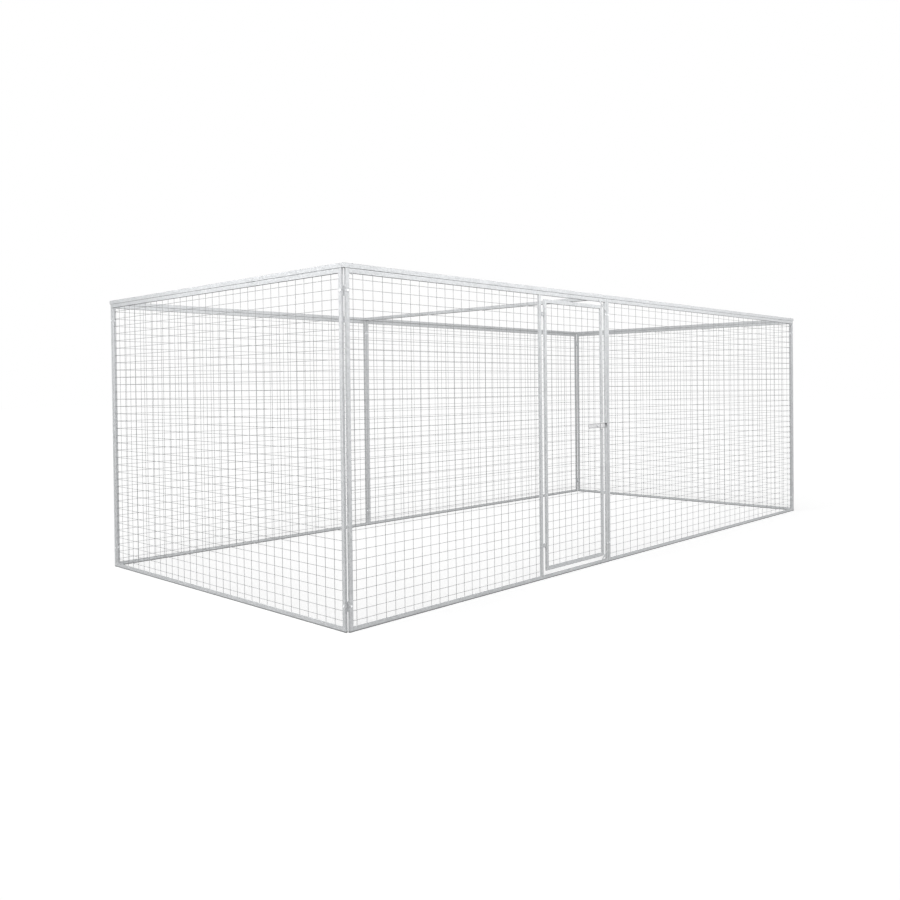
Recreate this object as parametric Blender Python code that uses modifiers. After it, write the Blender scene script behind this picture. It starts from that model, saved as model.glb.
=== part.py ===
"""A free-standing cat enclosure of galvanised steel: six welded tube panels with wire mesh on their
inner faces, two roof frames, corner angles, straps, bolts, and an inward door with a sliding latch.

Units are metres. The origin is the middle of the base, +X runs along the length, the door side
faces -Y and +Z is up. Each wall has an empty at its outer left corner as seen from outside: there
local x runs along the wall, local y points inwards and local z is up.
"""

import math

import bmesh
import bpy
from mathutils import Matrix, Vector

# Overall sizes, over the tubes
LENGTH = 5.500
WIDTH = 2.500
PANEL_HEIGHT = 1.800
LEFT_BAY_LENGTH = 2.315

# Tube section and the small clearances between neighbours
TUBE_FACE = 0.025
TUBE_DEPTH = 0.012
TUBE_WALL = 0.0015
RAIL_WALL = 0.0016
CORNER_CLEARANCE = 0.002
FIT = 0.0003

# Door leaf and the gaps round it
LEAF_WIDTH = 0.648
HINGE_SIDE_GAP = 0.029
LATCH_SIDE_GAP = 0.028
LEAF_FLOOR_GAP = 0.025
LEAF_HEAD_GAP = 0.023

# Corner bars that the closed leaf rests against
STOP_REACH_SIDEWAYS = 0.085
STOP_REACH_UPWARDS = 0.058
STOP_WIDTH = 0.012
STOP_THICKNESS = 0.003
STOP_WELD_RADIUS = 0.003
STOP_WELD_FROM_END = 0.006

# Wire mesh, with fewer and thicker wires than the finished surface has
NET_WIRE = 0.0035
NET_OVERLAP = 0.0065
NET_ROWS = 7
NET_COLUMNS = 5

# Bolts with domed heads and their nuts
BOLT_RADIUS = 0.0025
BOLT_HOLE_RADIUS = 0.0028
BOLT_HEAD_RADIUS = 0.0065
BOLT_HEAD_HEIGHT = 0.003
BOLT_SHOULDER_RADIUS = 0.0045
BOLT_SHOULDER_HEIGHT = 0.0017
BOLT_TAIL = 0.0015
BOLT_SIDES = 8
NUT_FLATS = 0.008
NUT_HEIGHT = 0.004
BOLT_FROM_FLOOR = 0.128
BOLT_FROM_PANEL_TOP = 0.112
ROOF_BOLT_FROM_END = 0.060

# Plates behind the bolted joints
PLATE_THICKNESS = 0.0025
PLATE_HEIGHT = 0.050
PLATE_EDGE = 0.0055

# Hinges: a lug with an upright pin on the post and a bored knuckle on the leaf
HINGE_FROM_LEAF_BOTTOM = 0.150
HINGE_FROM_LEAF_TOP = 0.105
HINGE_PIN_RADIUS = 0.004
HINGE_CLEARANCE = 0.0003
KNUCKLE_RADIUS = 0.0075
KNUCKLE_HEIGHT = 0.024
KNUCKLE_WEB = 0.006
LUG_HEIGHT = 0.006
LUG_WIDTH = 0.010
PIN_PROUD = 0.003
HINGE_SIDES = 16

# Latch: a flat bar that slides through the leaf's latch stile into a notch in the frame
LATCH_HEIGHT = 0.937
LATCH_BAR_LENGTH = 0.187
LATCH_BAR_HEIGHT = 0.030
LATCH_BAR_THICKNESS = 0.003
LATCH_TIP_GAP = 0.003
LATCH_CLEARANCE = 0.0008
KEEPER_LENGTH = 0.020
FINGER_HOLE_RADIUS = 0.0055
FINGER_HOLE_FROM_END = 0.046
KNOB_FROM_END = 0.098
KNOB_RADIUS = 0.007
KNOB_BASE_RADIUS = 0.005
GUIDE_HEIGHT = 0.046
GUIDE_THICKNESS = 0.002

# How far a cutter runs past the faces that it cuts
CUT = 0.001

# Places that follow from the sizes above
STILE_START = TUBE_DEPTH + CORNER_CLEARANCE
ROOF_BASE = PANEL_HEIGHT + FIT
WALL_MIDDLE = TUBE_DEPTH / 2
LEAF_RIGHT = LEFT_BAY_LENGTH - FIT / 2 - TUBE_FACE - LATCH_SIDE_GAP
LEAF_LEFT = LEAF_RIGHT - LEAF_WIDTH
POST_RIGHT = LEAF_LEFT - HINGE_SIDE_GAP
LEAF_BOTTOM = TUBE_FACE + LEAF_FLOOR_GAP
LEAF_TOP = PANEL_HEIGHT - TUBE_FACE - LEAF_HEAD_GAP
HINGE_X = POST_RIGHT + HINGE_SIDE_GAP / 2
FRAME_LATCH_FACE = LEFT_BAY_LENGTH - FIT / 2 - TUBE_FACE
LATCH_TIP = FRAME_LATCH_FACE - LATCH_TIP_GAP
LATCH_TAIL = LATCH_TIP - LATCH_BAR_LENGTH
BOLT_LEVELS = {"lower": BOLT_FROM_FLOOR, "upper": PANEL_HEIGHT - BOLT_FROM_PANEL_TOP}

STEEL = ("galvanised_steel", (0.60, 0.61, 0.62), 0.45, 0.8)
WIRE_STEEL = ("wire_steel", (0.52, 0.53, 0.54), 0.40, 0.8)
BOLT_STEEL = ("bolt_steel", (0.66, 0.67, 0.68), 0.30, 0.9)
LATCH_STEEL = ("latch_steel", (0.62, 0.62, 0.62), 0.35, 0.85)


def clear_scene():
    """Removes every object of the start-up scene."""
    for obj in list(bpy.data.objects):
        bpy.data.objects.remove(obj, do_unlink=True)


def new_collection(name):
    """Makes a collection in the scene."""
    collection = bpy.data.collections.new(name)
    bpy.context.scene.collection.children.link(collection)
    return collection


def new_material(node_name, finish):
    """Makes a piece's own material from a finish: its name, colour, roughness and metallic value."""
    name, colour, roughness, metallic = finish
    material = bpy.data.materials.new(node_name + "_" + name)
    material.use_nodes = True
    shader = material.node_tree.nodes["Principled BSDF"]
    shader.inputs["Base Color"].default_value = (*colour, 1.0)
    shader.inputs["Roughness"].default_value = roughness
    shader.inputs["Metallic"].default_value = metallic
    return material


def place(obj, collection, parent, location=(0, 0, 0), rotation=(0, 0, 0)):
    """Links an object to a collection and sets its parent, location and rotation."""
    collection.objects.link(obj)
    obj.parent = parent
    obj.location = location
    obj.rotation_euler = rotation
    return obj


def add_piece(name, bm, finish, parent, location=(0, 0, 0), rotation=(0, 0, 0)):
    """Turns a bmesh into a named piece of the enclosure."""
    mesh = bpy.data.meshes.new(name)
    bm.to_mesh(mesh)
    bm.free()
    mesh.materials.append(new_material(name, finish))
    return place(bpy.data.objects.new(name, mesh), PARTS, parent, location, rotation)


def operand_group(piece, operation):
    """The collection of bodies that one Boolean of a piece uses, made with that Boolean at first use."""
    name = "_".join((piece.name, operation.lower()))
    if name not in bpy.data.collections:
        group = bpy.data.collections.new(name)
        CUTTERS.children.link(group)
        modifier = piece.modifiers.new(name, "BOOLEAN")
        modifier.operation = operation
        modifier.solver = "EXACT"
        modifier.operand_type = "COLLECTION"
        modifier.collection = group
    return bpy.data.collections[name]


def cut_or_join(piece, bm, label, operation):
    """Gives a piece's Boolean a hidden body that shares the piece's placement.

    All of a piece's cuts are one Boolean, and so are all of its joins, which come first.
    """
    mesh = bpy.data.meshes.new(piece.name + "_" + label)
    bm.to_mesh(mesh)
    bm.free()
    body = bpy.data.objects.new(piece.name + "_" + label, mesh)
    place(body, operand_group(piece, operation), piece.parent, piece.location, piece.rotation_euler)
    body.hide_render = True
    body.display_type = "WIRE"


def add_box(bm, low, high):
    """Adds a box to a bmesh, with its corners exactly at the lowest and highest values given."""
    for vert in bmesh.ops.create_cube(bm, size=1.0)["verts"]:
        vert.co = [top if side > 0 else base for base, top, side in zip(low, high, vert.co)]


def add_rod(bm, start, end, radius, sides):
    """Adds a prism to a bmesh between two points, with flats and not corners along its main axes."""
    start, end = Vector(start), Vector(end)
    axis = end - start
    spin = axis.to_track_quat("Z", "Y").to_matrix().to_4x4() @ Matrix.Rotation(math.pi / sides, 4, "Z")
    bmesh.ops.create_cone(
        bm, cap_ends=True, segments=sides, radius1=radius, radius2=radius, depth=axis.length,
        matrix=Matrix.Translation((start + end) / 2) @ spin)


def boxes(*corners):
    """A bmesh of boxes, each given by its lowest and highest corners."""
    bm = bmesh.new()
    for low, high in corners:
        add_box(bm, low, high)
    return bm


def rods(*runs, radius=BOLT_HOLE_RADIUS, sides=BOLT_SIDES):
    """A bmesh of prisms, each given by its two end points."""
    bm = bmesh.new()
    for start, end in runs:
        add_rod(bm, start, end, radius, sides)
    return bm


def window(x0, x1, z0, z1):
    """A cutter through a panel, from the gap behind any bar on its front to behind the panel."""
    return (x0, -FIT / 2, z0), (x1, TUBE_DEPTH + CUT, z1)


def stile_bore(x0, z0, z1):
    """The hollow of an upright tube, open at both of its ends."""
    return ((x0 + TUBE_WALL, TUBE_WALL, z0), (x0 + TUBE_FACE - TUBE_WALL, TUBE_DEPTH - TUBE_WALL, z1))


def rail_bore(x0, x1, z0):
    """The hollow of a rail, a touch smaller than the uprights' hollows that it opens into."""
    return ((x0, RAIL_WALL, z0 + RAIL_WALL), (x1, TUBE_DEPTH - RAIL_WALL, z0 + TUBE_FACE - RAIL_WALL))


def bolt_holes(*places):
    """Holes along local y through a panel, at (x, z) places."""
    return rods(*(((x, -CUT, z), (x, TUBE_DEPTH + CUT, z)) for x, z in places))


def panel_frame(name, x0, x1, z0, z1, parent, posts=(), joins=()):
    """A welded frame of rectangular tube, hollow throughout, with open tube ends at its stiles.

    posts are the left faces of any upright between the stiles, and joins are what is welded on
    its front before it is cut.
    """
    piece = add_piece(name, boxes(((x0, 0, z0), (x1, TUBE_DEPTH, z1))), STEEL, parent)
    for number, bar in enumerate(joins):
        cut_or_join(piece, bar, "join_%d" % number, "UNION")
    lefts = [x0, *posts, x1 - TUBE_FACE]
    windows = [window(left + TUBE_FACE, right, z0 + TUBE_FACE, z1 - TUBE_FACE)
               for left, right in zip(lefts, lefts[1:])]
    cut_or_join(piece, boxes(*windows), "windows", "DIFFERENCE")
    into_wall = TUBE_FACE - TUBE_WALL - CUT
    uprights = [stile_bore(x0, z0 - CUT, z1 + CUT), stile_bore(x1 - TUBE_FACE, z0 - CUT, z1 + CUT)]
    uprights += [stile_bore(left, z0 + into_wall, z1 - into_wall) for left in posts]
    cut_or_join(piece, boxes(*uprights), "upright_bores", "DIFFERENCE")
    ends = (x0 + into_wall, x1 - into_wall)
    rails = [rail_bore(*ends, z0), rail_bore(*ends, z1 - TUBE_FACE)]
    cut_or_join(piece, boxes(*rails), "rail_bores", "DIFFERENCE")
    return piece


def stile_bolt_places(x0, x1):
    """Bolt places in both stiles of a wall panel, near the floor and near the top."""
    middles = (x0 + TUBE_FACE / 2, x1 - TUBE_FACE / 2)
    return [(x, z) for x in middles for z in BOLT_LEVELS.values()]


def roof_bolt_hole(x, low, high):
    """An upright bolt hole through a wall's top rail."""
    return rods(((x, WALL_MIDDLE, low), (x, WALL_MIDDLE, high)))


def wall_panel(name, x0, x1, parent, roof_bolt_x=None, **details):
    """A wall panel with its bolt holes."""
    piece = panel_frame(name, x0, x1, 0.0, PANEL_HEIGHT, parent, **details)
    cut_or_join(piece, bolt_holes(*stile_bolt_places(x0, x1)), "bolt_holes", "DIFFERENCE")
    if roof_bolt_x is not None:
        hole = roof_bolt_hole(roof_bolt_x, PANEL_HEIGHT - TUBE_FACE - CUT, PANEL_HEIGHT + CUT)
        cut_or_join(piece, hole, "roof_bolt_hole", "DIFFERENCE")
    return piece


def net(name, x0, x1, z0, z1, parent, columns=NET_COLUMNS, rows=NET_ROWS):
    """Wire mesh on the inner face of a window, lapping onto the tubes round it."""
    lap = NET_OVERLAP - NET_WIRE / 2
    width, height = x1 - x0 + 2 * lap, z1 - z0 + 2 * lap
    bm = bmesh.new()
    bmesh.ops.create_grid(bm, x_segments=columns, y_segments=rows, size=0.5)
    bmesh.ops.scale(bm, vec=(width, height, 1.0), verts=bm.verts)
    bmesh.ops.rotate(bm, matrix=Matrix.Rotation(math.pi / 2, 3, "X"), verts=bm.verts)
    centre = ((x0 + x1) / 2, TUBE_DEPTH + FIT + NET_WIRE / 2, (z0 + z1) / 2)
    bmesh.ops.translate(bm, vec=centre, verts=bm.verts)
    piece = add_piece(name, bm, WIRE_STEEL, parent)
    wires = piece.modifiers.new("wires", "WIREFRAME")
    wires.thickness = NET_WIRE
    wires.use_even_offset = False
    wires.use_boundary = True
    wires.use_replace = True
    return piece


def stop_bar(level, direction):
    """A flat bar across a latch-side corner of the door opening, and its two plug welds."""
    corner_x = FRAME_LATCH_FACE + TUBE_FACE / 2
    start = Vector((corner_x - STOP_REACH_SIDEWAYS, 0, level - direction * TUBE_FACE / 2))
    end = Vector((corner_x, 0, level + direction * STOP_REACH_UPWARDS))
    run = end - start
    bar = boxes(((-run.length / 2, -STOP_THICKNESS - FIT, -STOP_WIDTH / 2),
                 (run.length / 2, -FIT, STOP_WIDTH / 2)))
    tilt = Matrix.Rotation(-math.atan2(run.z, run.x), 3, "Y")
    bmesh.ops.rotate(bar, matrix=tilt, verts=bar.verts)
    bmesh.ops.translate(bar, vec=(start + end) / 2, verts=bar.verts)
    inset = run.normalized() * STOP_WELD_FROM_END
    depths = Vector((0, -STOP_THICKNESS / 2 - FIT, 0)), Vector((0, TUBE_WALL / 2, 0))
    welds = rods(*((place + depths[0], place + depths[1]) for place in (start + inset, end - inset)),
                 radius=STOP_WELD_RADIUS)
    return [bar, welds]


def hinge_levels():
    """The heights of the two knuckles' lower ends."""
    return {"lower": LEAF_BOTTOM + HINGE_FROM_LEAF_BOTTOM, "upper": LEAF_TOP - HINGE_FROM_LEAF_TOP}


def door_leaf(parent):
    """The leaf's frame, with its two knuckles and the slots for the latch bar."""
    knuckles = bmesh.new()
    webs = []
    bores = []
    for level in hinge_levels().values():
        low, high = level, level + KNUCKLE_HEIGHT
        add_rod(knuckles, (HINGE_X, WALL_MIDDLE, low), (HINGE_X, WALL_MIDDLE, high),
                KNUCKLE_RADIUS, HINGE_SIDES)
        webs.append(((HINGE_X, WALL_MIDDLE - KNUCKLE_WEB / 2, low),
                     (LEAF_LEFT + TUBE_WALL / 2, WALL_MIDDLE + KNUCKLE_WEB / 2, high)))
        bores.append(((HINGE_X, WALL_MIDDLE, low - CUT), (HINGE_X, WALL_MIDDLE, high + CUT)))
    piece = panel_frame("door_leaf_frame", LEAF_LEFT, LEAF_RIGHT, LEAF_BOTTOM, LEAF_TOP, parent,
                        joins=[boxes(*webs), knuckles])
    bore_radius = HINGE_PIN_RADIUS + HINGE_CLEARANCE
    cut_or_join(piece, rods(*bores, radius=bore_radius, sides=HINGE_SIDES), "pin_bores", "DIFFERENCE")
    slot = latch_slot(LEAF_RIGHT - TUBE_FACE - CUT, LEAF_RIGHT + CUT)
    cut_or_join(piece, boxes(slot), "latch_slot", "DIFFERENCE")
    return piece


def latch_slot(x0, x1):
    """The space that the latch bar slides in, with its clearance."""
    half_depth = LATCH_BAR_THICKNESS / 2 + LATCH_CLEARANCE
    half_height = LATCH_BAR_HEIGHT / 2 + LATCH_CLEARANCE
    return ((x0, WALL_MIDDLE - half_depth, LATCH_HEIGHT - half_height),
            (x1, WALL_MIDDLE + half_depth, LATCH_HEIGHT + half_height))


def keeper_notch():
    """The notch that the bar's tip slides into, open to the front of the frame's latch stile."""
    low, high = latch_slot(FRAME_LATCH_FACE - CUT, FRAME_LATCH_FACE + KEEPER_LENGTH)
    return (low[0], -CUT, low[2]), high


def hinge_pin(name, level, parent):
    """A lug on the post with an upright pin; its origin is on the hinge axis."""
    top = KNUCKLE_HEIGHT + PIN_PROUD
    half = LUG_WIDTH / 2
    lug_top = -FIT
    lug = boxes(((POST_RIGHT + FIT - HINGE_X, -half, lug_top - LUG_HEIGHT), (half, half, lug_top)))
    piece = add_piece(name, lug, BOLT_STEEL, parent, (HINGE_X, WALL_MIDDLE, level))
    pin = rods(((0, 0, lug_top - LUG_HEIGHT / 2), (0, 0, top)), radius=HINGE_PIN_RADIUS, sides=HINGE_SIDES)
    cut_or_join(piece, pin, "pin", "UNION")
    return piece


def latch_guide(parent):
    """A channel over the front of the latch stile, slotted for the bar."""
    left, right = LEAF_RIGHT - TUBE_FACE, LEAF_RIGHT
    low, high = LATCH_HEIGHT - GUIDE_HEIGHT / 2, LATCH_HEIGHT + GUIDE_HEIGHT / 2
    outer = ((left - FIT - GUIDE_THICKNESS, -FIT - GUIDE_THICKNESS, low),
             (right + FIT + GUIDE_THICKNESS, TUBE_DEPTH, high))
    piece = add_piece("latch_guide", boxes(outer), LATCH_STEEL, parent)
    inner = ((left - FIT, -FIT, low - CUT), (right + FIT, TUBE_DEPTH + CUT, high + CUT))
    cut_or_join(piece, boxes(inner), "stile_space", "DIFFERENCE")
    slot = latch_slot(outer[0][0] - CUT, outer[1][0] + CUT)
    cut_or_join(piece, boxes(slot), "bar_slots", "DIFFERENCE")
    return piece


def latch_bar(parent):
    """The sliding bar with its finger hole and a domed knob; its origin is at its tip."""
    half_depth, half_height = LATCH_BAR_THICKNESS / 2, LATCH_BAR_HEIGHT / 2
    bar = boxes(((-LATCH_BAR_LENGTH, -half_depth, -half_height), (0, half_depth, half_height)))
    piece = add_piece("latch_bar", bar, LATCH_STEEL, parent, (LATCH_TIP, WALL_MIDDLE, LATCH_HEIGHT))
    knob_x = KNOB_FROM_END - LATCH_BAR_LENGTH
    front = -WALL_MIDDLE - BOLT_HEAD_HEIGHT - FIT
    knob = bmesh.new()
    matrix = Matrix.Translation((knob_x, front / 2, 0)) @ Matrix.Rotation(math.pi / 2, 4, "X")
    bmesh.ops.create_cone(knob, cap_ends=True, segments=HINGE_SIDES, radius1=KNOB_BASE_RADIUS,
                          radius2=KNOB_RADIUS, depth=-front, matrix=matrix)
    cut_or_join(piece, knob, "knob", "UNION")
    hole_x = FINGER_HOLE_FROM_END - LATCH_BAR_LENGTH
    hole = rods(((hole_x, -half_depth - CUT, 0), (hole_x, half_depth + CUT, 0)),
                radius=FINGER_HOLE_RADIUS, sides=HINGE_SIDES)
    cut_or_join(piece, hole, "finger_hole", "DIFFERENCE")
    return piece


def bolt(name, grip, parent, location, rotation):
    """A domed bolt and its nut. Local +z points out of the face under the head, which is z = 0."""
    nut_face = -grip - FIT
    tail = nut_face - NUT_HEIGHT - BOLT_TAIL
    top = FIT + BOLT_HEAD_HEIGHT
    profile = [(0, top), (BOLT_SHOULDER_RADIUS, FIT + BOLT_SHOULDER_HEIGHT), (BOLT_HEAD_RADIUS, FIT),
               (BOLT_RADIUS, FIT), (BOLT_RADIUS, tail), (0, tail)]
    bm = bmesh.new()
    turned = Vector((math.cos(math.pi / BOLT_SIDES), math.sin(math.pi / BOLT_SIDES), 0))
    points = [bm.verts.new(radius * turned + Vector((0, 0, height))) for radius, height in profile]
    for first, second in zip(points, points[1:]):
        bm.edges.new((first, second))
    piece = add_piece(name, bm, BOLT_STEEL, parent, location, rotation)
    turn = piece.modifiers.new("turn", "SCREW")
    turn.steps = BOLT_SIDES
    turn.render_steps = BOLT_SIDES
    turn.use_merge_vertices = True
    turn.merge_threshold = 0.00005
    nut = bmesh.new()
    corner_radius = NUT_FLATS / 2 / math.cos(math.pi / 6)
    add_rod(nut, (0, 0, nut_face), (0, 0, nut_face - NUT_HEIGHT), corner_radius, 6)
    cut_or_join(piece, nut, "nut", "UNION")
    return piece


def wall_bolt(name, x, level, parent):
    """A bolt through a stile and the plate behind it."""
    grip = TUBE_DEPTH + FIT + PLATE_THICKNESS
    return bolt(name, grip, parent, (x, 0, level), (math.pi / 2, 0, 0))


def corner_angle(name, level, parent):
    """An inside angle that joins the stiles at a corner. Local x and y run along the two walls."""
    near = TUBE_DEPTH + FIT
    hole = STILE_START + TUBE_FACE / 2
    far = hole + PLATE_EDGE
    low, high = level - PLATE_HEIGHT / 2, level + PLATE_HEIGHT / 2
    piece = add_piece(name, boxes(((near, near, low), (far, far, high))), STEEL, parent)
    inside = near + PLATE_THICKNESS
    cut_or_join(piece, boxes(((inside, inside, low - CUT), (far + CUT, far + CUT, high + CUT))),
                "inside", "DIFFERENCE")
    cross = rods(((hole, near - CUT, level), (hole, inside + CUT, level)),
                 ((near - CUT, hole, level), (inside + CUT, hole, level)))
    cut_or_join(piece, cross, "bolt_holes", "DIFFERENCE")
    return piece


def joint_strap(name, joint_x, level, parent):
    """A flat strap behind two neighbouring stiles."""
    reach = FIT / 2 + TUBE_FACE / 2
    half = reach + PLATE_EDGE
    near = TUBE_DEPTH + FIT
    far = near + PLATE_THICKNESS
    low, high = level - PLATE_HEIGHT / 2, level + PLATE_HEIGHT / 2
    plate = boxes(((joint_x - half, near, low), (joint_x + half, far, high)))
    piece = add_piece(name, plate, STEEL, parent)
    holes = [((joint_x + side * reach, near - CUT, level), (joint_x + side * reach, far + CUT, level))
             for side in (-1, 1)]
    cut_or_join(piece, rods(*holes), "bolt_holes", "DIFFERENCE")
    return piece


def roof_frame(name, x0, x1, bolt_x, parent):
    """A frame of upright-standing tube on the walls' top rails. Local y runs from front to rear."""
    top = ROOF_BASE + TUBE_FACE
    piece = add_piece(name, boxes(((x0, 0, ROOF_BASE), (x1, WIDTH, top))), STEEL, parent)
    hole = ((x0 + TUBE_DEPTH, TUBE_DEPTH, ROOF_BASE - CUT), (x1 - TUBE_DEPTH, WIDTH - TUBE_DEPTH, top + CUT))
    cut_or_join(piece, boxes(hole), "middle", "DIFFERENCE")
    low, high = ROOF_BASE + TUBE_WALL, top - TUBE_WALL
    long_bores = [((x0 - CUT, y + TUBE_WALL, low), (x1 + CUT, y + TUBE_DEPTH - TUBE_WALL, high))
                  for y in (0, WIDTH - TUBE_DEPTH)]
    cut_or_join(piece, boxes(*long_bores), "long_bores", "DIFFERENCE")
    cross_bores = [((x + TUBE_WALL, WALL_MIDDLE, low), (x + TUBE_DEPTH - TUBE_WALL, WIDTH - WALL_MIDDLE, high))
                   for x in (x0, x1 - TUBE_DEPTH)]
    cut_or_join(piece, boxes(*cross_bores), "cross_bores", "DIFFERENCE")
    holes = rods(*(((bolt_x, y, ROOF_BASE - CUT), (bolt_x, y, top + CUT))
                   for y in (WALL_MIDDLE, WIDTH - WALL_MIDDLE)))
    cut_or_join(piece, holes, "bolt_holes", "DIFFERENCE")
    return piece


def corner_empty(name, x, y, turns):
    """A wall's empty, turned by a number of quarter turns."""
    empty = bpy.data.objects.new(name, None)
    return place(empty, PARTS, None, (x, y, 0), (0, 0, turns * math.pi / 2))


def side_wall(side, parent):
    """A side wall of one panel, its mesh and its four bolts."""
    x0, x1 = STILE_START, WIDTH - STILE_START
    wall_panel(side + "_side_frame", x0, x1, parent)
    net(side + "_side_net", x0 + TUBE_FACE, x1 - TUBE_FACE, TUBE_FACE, PANEL_HEIGHT - TUBE_FACE, parent)
    ends = ("rear", "front") if side == "left" else ("front", "rear")
    for end, x in zip(ends, (x0, x1 - TUBE_FACE)):
        for height, level in BOLT_LEVELS.items():
            name = "_".join((side, "side", end, height, "bolt"))
            wall_bolt(name, x + TUBE_FACE / 2, level, parent)


def long_wall_bolts(wall, names, panels, parent):
    """The bolts of a front or rear wall, four to a panel."""
    for panel, (x0, x1) in zip(names, panels):
        for end, x in (("outer", x0), ("inner", x1)):
            for height, level in BOLT_LEVELS.items():
                name = "_".join((wall, panel, end, height, "bolt"))
                wall_bolt(name, x, level, parent)


def roof_bolts(wall, places, parent):
    """The upright bolts that hold the roof frames on a wall's top rails."""
    top = ROOF_BASE + TUBE_FACE
    grip = top - PANEL_HEIGHT + TUBE_FACE
    for side, x in places.items():
        bolt("_".join((wall, side, "roof_bolt")), grip, parent, (x, WALL_MIDDLE, top), (0, 0, 0))


def front_wall(parent):
    """The door panel and the panel to its right, with the door in the first."""
    x0, middle, x3 = STILE_START, LEFT_BAY_LENGTH, LENGTH - STILE_START
    x1, x2 = middle - FIT / 2, middle + FIT / 2
    z0, z1 = TUBE_FACE, PANEL_HEIGHT - TUBE_FACE
    frame = wall_panel("front_door_frame", x0, x1, parent, ROOF_BOLT_FROM_END,
                       posts=[POST_RIGHT - TUBE_FACE], joins=stop_bar(z0, 1) + stop_bar(z1, -1))
    cut_or_join(frame, boxes(keeper_notch()), "latch_keeper", "DIFFERENCE")
    wall_panel("front_right_frame", x2, x3, parent, LENGTH - ROOF_BOLT_FROM_END)
    net("front_left_net", x0 + TUBE_FACE, POST_RIGHT - TUBE_FACE, z0, z1, parent)
    net("front_right_net", x2 + TUBE_FACE, x3 - TUBE_FACE, z0, z1, parent)
    half = TUBE_FACE / 2
    long_wall_bolts("front", ("left", "right"), ((x0 + half, x1 - half), (x3 - half, x2 + half)), parent)
    roof_bolts("front", {"left": ROOF_BOLT_FROM_END, "right": LENGTH - ROOF_BOLT_FROM_END}, parent)
    for height, level in BOLT_LEVELS.items():
        joint_strap("front_" + height + "_strap", middle, level, parent)
    for height, level in hinge_levels().items():
        hinge_pin(height + "_hinge_pin", level, parent)


def rear_wall(parent):
    """The two rear panels. Local x runs from the right end to the left end of the enclosure."""
    x0, middle, x3 = STILE_START, LENGTH - LEFT_BAY_LENGTH, LENGTH - STILE_START
    x1, x2 = middle - FIT / 2, middle + FIT / 2
    z0, z1 = TUBE_FACE, PANEL_HEIGHT - TUBE_FACE
    wall_panel("rear_right_frame", x0, x1, parent, ROOF_BOLT_FROM_END)
    wall_panel("rear_left_frame", x2, x3, parent, LENGTH - ROOF_BOLT_FROM_END)
    net("rear_right_net", x0 + TUBE_FACE, x1 - TUBE_FACE, z0, z1, parent)
    net("rear_left_net", x2 + TUBE_FACE, x3 - TUBE_FACE, z0, z1, parent)
    half = TUBE_FACE / 2
    long_wall_bolts("rear", ("right", "left"), ((x0 + half, x1 - half), (x3 - half, x2 + half)), parent)
    roof_bolts("rear", {"right": ROOF_BOLT_FROM_END, "left": LENGTH - ROOF_BOLT_FROM_END}, parent)
    for height, level in BOLT_LEVELS.items():
        joint_strap("rear_" + height + "_strap", middle, level, parent)


def door(parent):
    """The door leaf with its mesh, guide and latch bar, under an empty on the hinge axis."""
    hinge = bpy.data.objects.new("door_hinge_axis", None)
    place(hinge, PARTS, parent, (HINGE_X, WALL_MIDDLE, 0))
    shift = bpy.data.objects.new("door_pieces", None)
    place(shift, PARTS, hinge, (-HINGE_X, -WALL_MIDDLE, 0))
    door_leaf(shift)
    net("door_net", LEAF_LEFT + TUBE_FACE, LEAF_RIGHT - TUBE_FACE,
        LEAF_BOTTOM + TUBE_FACE, LEAF_TOP - TUBE_FACE, shift)
    latch_guide(shift)
    latch_bar(shift)


def build():
    """Builds the walls, the roof frames, the corner angles and the door."""
    half_x, half_y = LENGTH / 2, WIDTH / 2
    front = corner_empty("front_wall", -half_x, -half_y, 0)
    right = corner_empty("right_wall", half_x, -half_y, 1)
    rear = corner_empty("rear_wall", half_x, half_y, 2)
    left = corner_empty("left_wall", -half_x, half_y, -1)
    side_wall("left", left)
    side_wall("right", right)
    front_wall(front)
    rear_wall(rear)
    corners = {"front_left": front, "front_right": right, "rear_right": rear, "rear_left": left}
    for corner, parent in corners.items():
        for height, level in BOLT_LEVELS.items():
            corner_angle(corner + "_" + height + "_angle", level, parent)
    split = LEFT_BAY_LENGTH
    roof_frame("roof_frame_left", 0, split - FIT / 2, ROOF_BOLT_FROM_END, front)
    roof_frame("roof_frame_right", split + FIT / 2, LENGTH, LENGTH - ROOF_BOLT_FROM_END, front)
    door(front)


clear_scene()
PARTS = new_collection("cat_enclosure")
CUTTERS = new_collection("cutters")
build()
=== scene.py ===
"""The looks of a free-standing cat enclosure of galvanised steel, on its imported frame.

Everything is in metres in the frame of the solids: the origin is the middle of the base, +X runs
along the length and the door side faces -Y. A wall's own coordinates are x along it, y inwards and
z up, from its outer left corner as seen from outside. Tubes, wires, welds and fasteners are built
here in full, and each piece stands for the plain solids that it replaces.
"""

from __future__ import annotations

import logging
import math
from collections.abc import Callable, Iterable, Mapping, Sequence
from dataclasses import dataclass, field
from enum import Enum
from typing import Any

import bmesh
import bpy
from mathutils import Matrix, Vector


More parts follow.
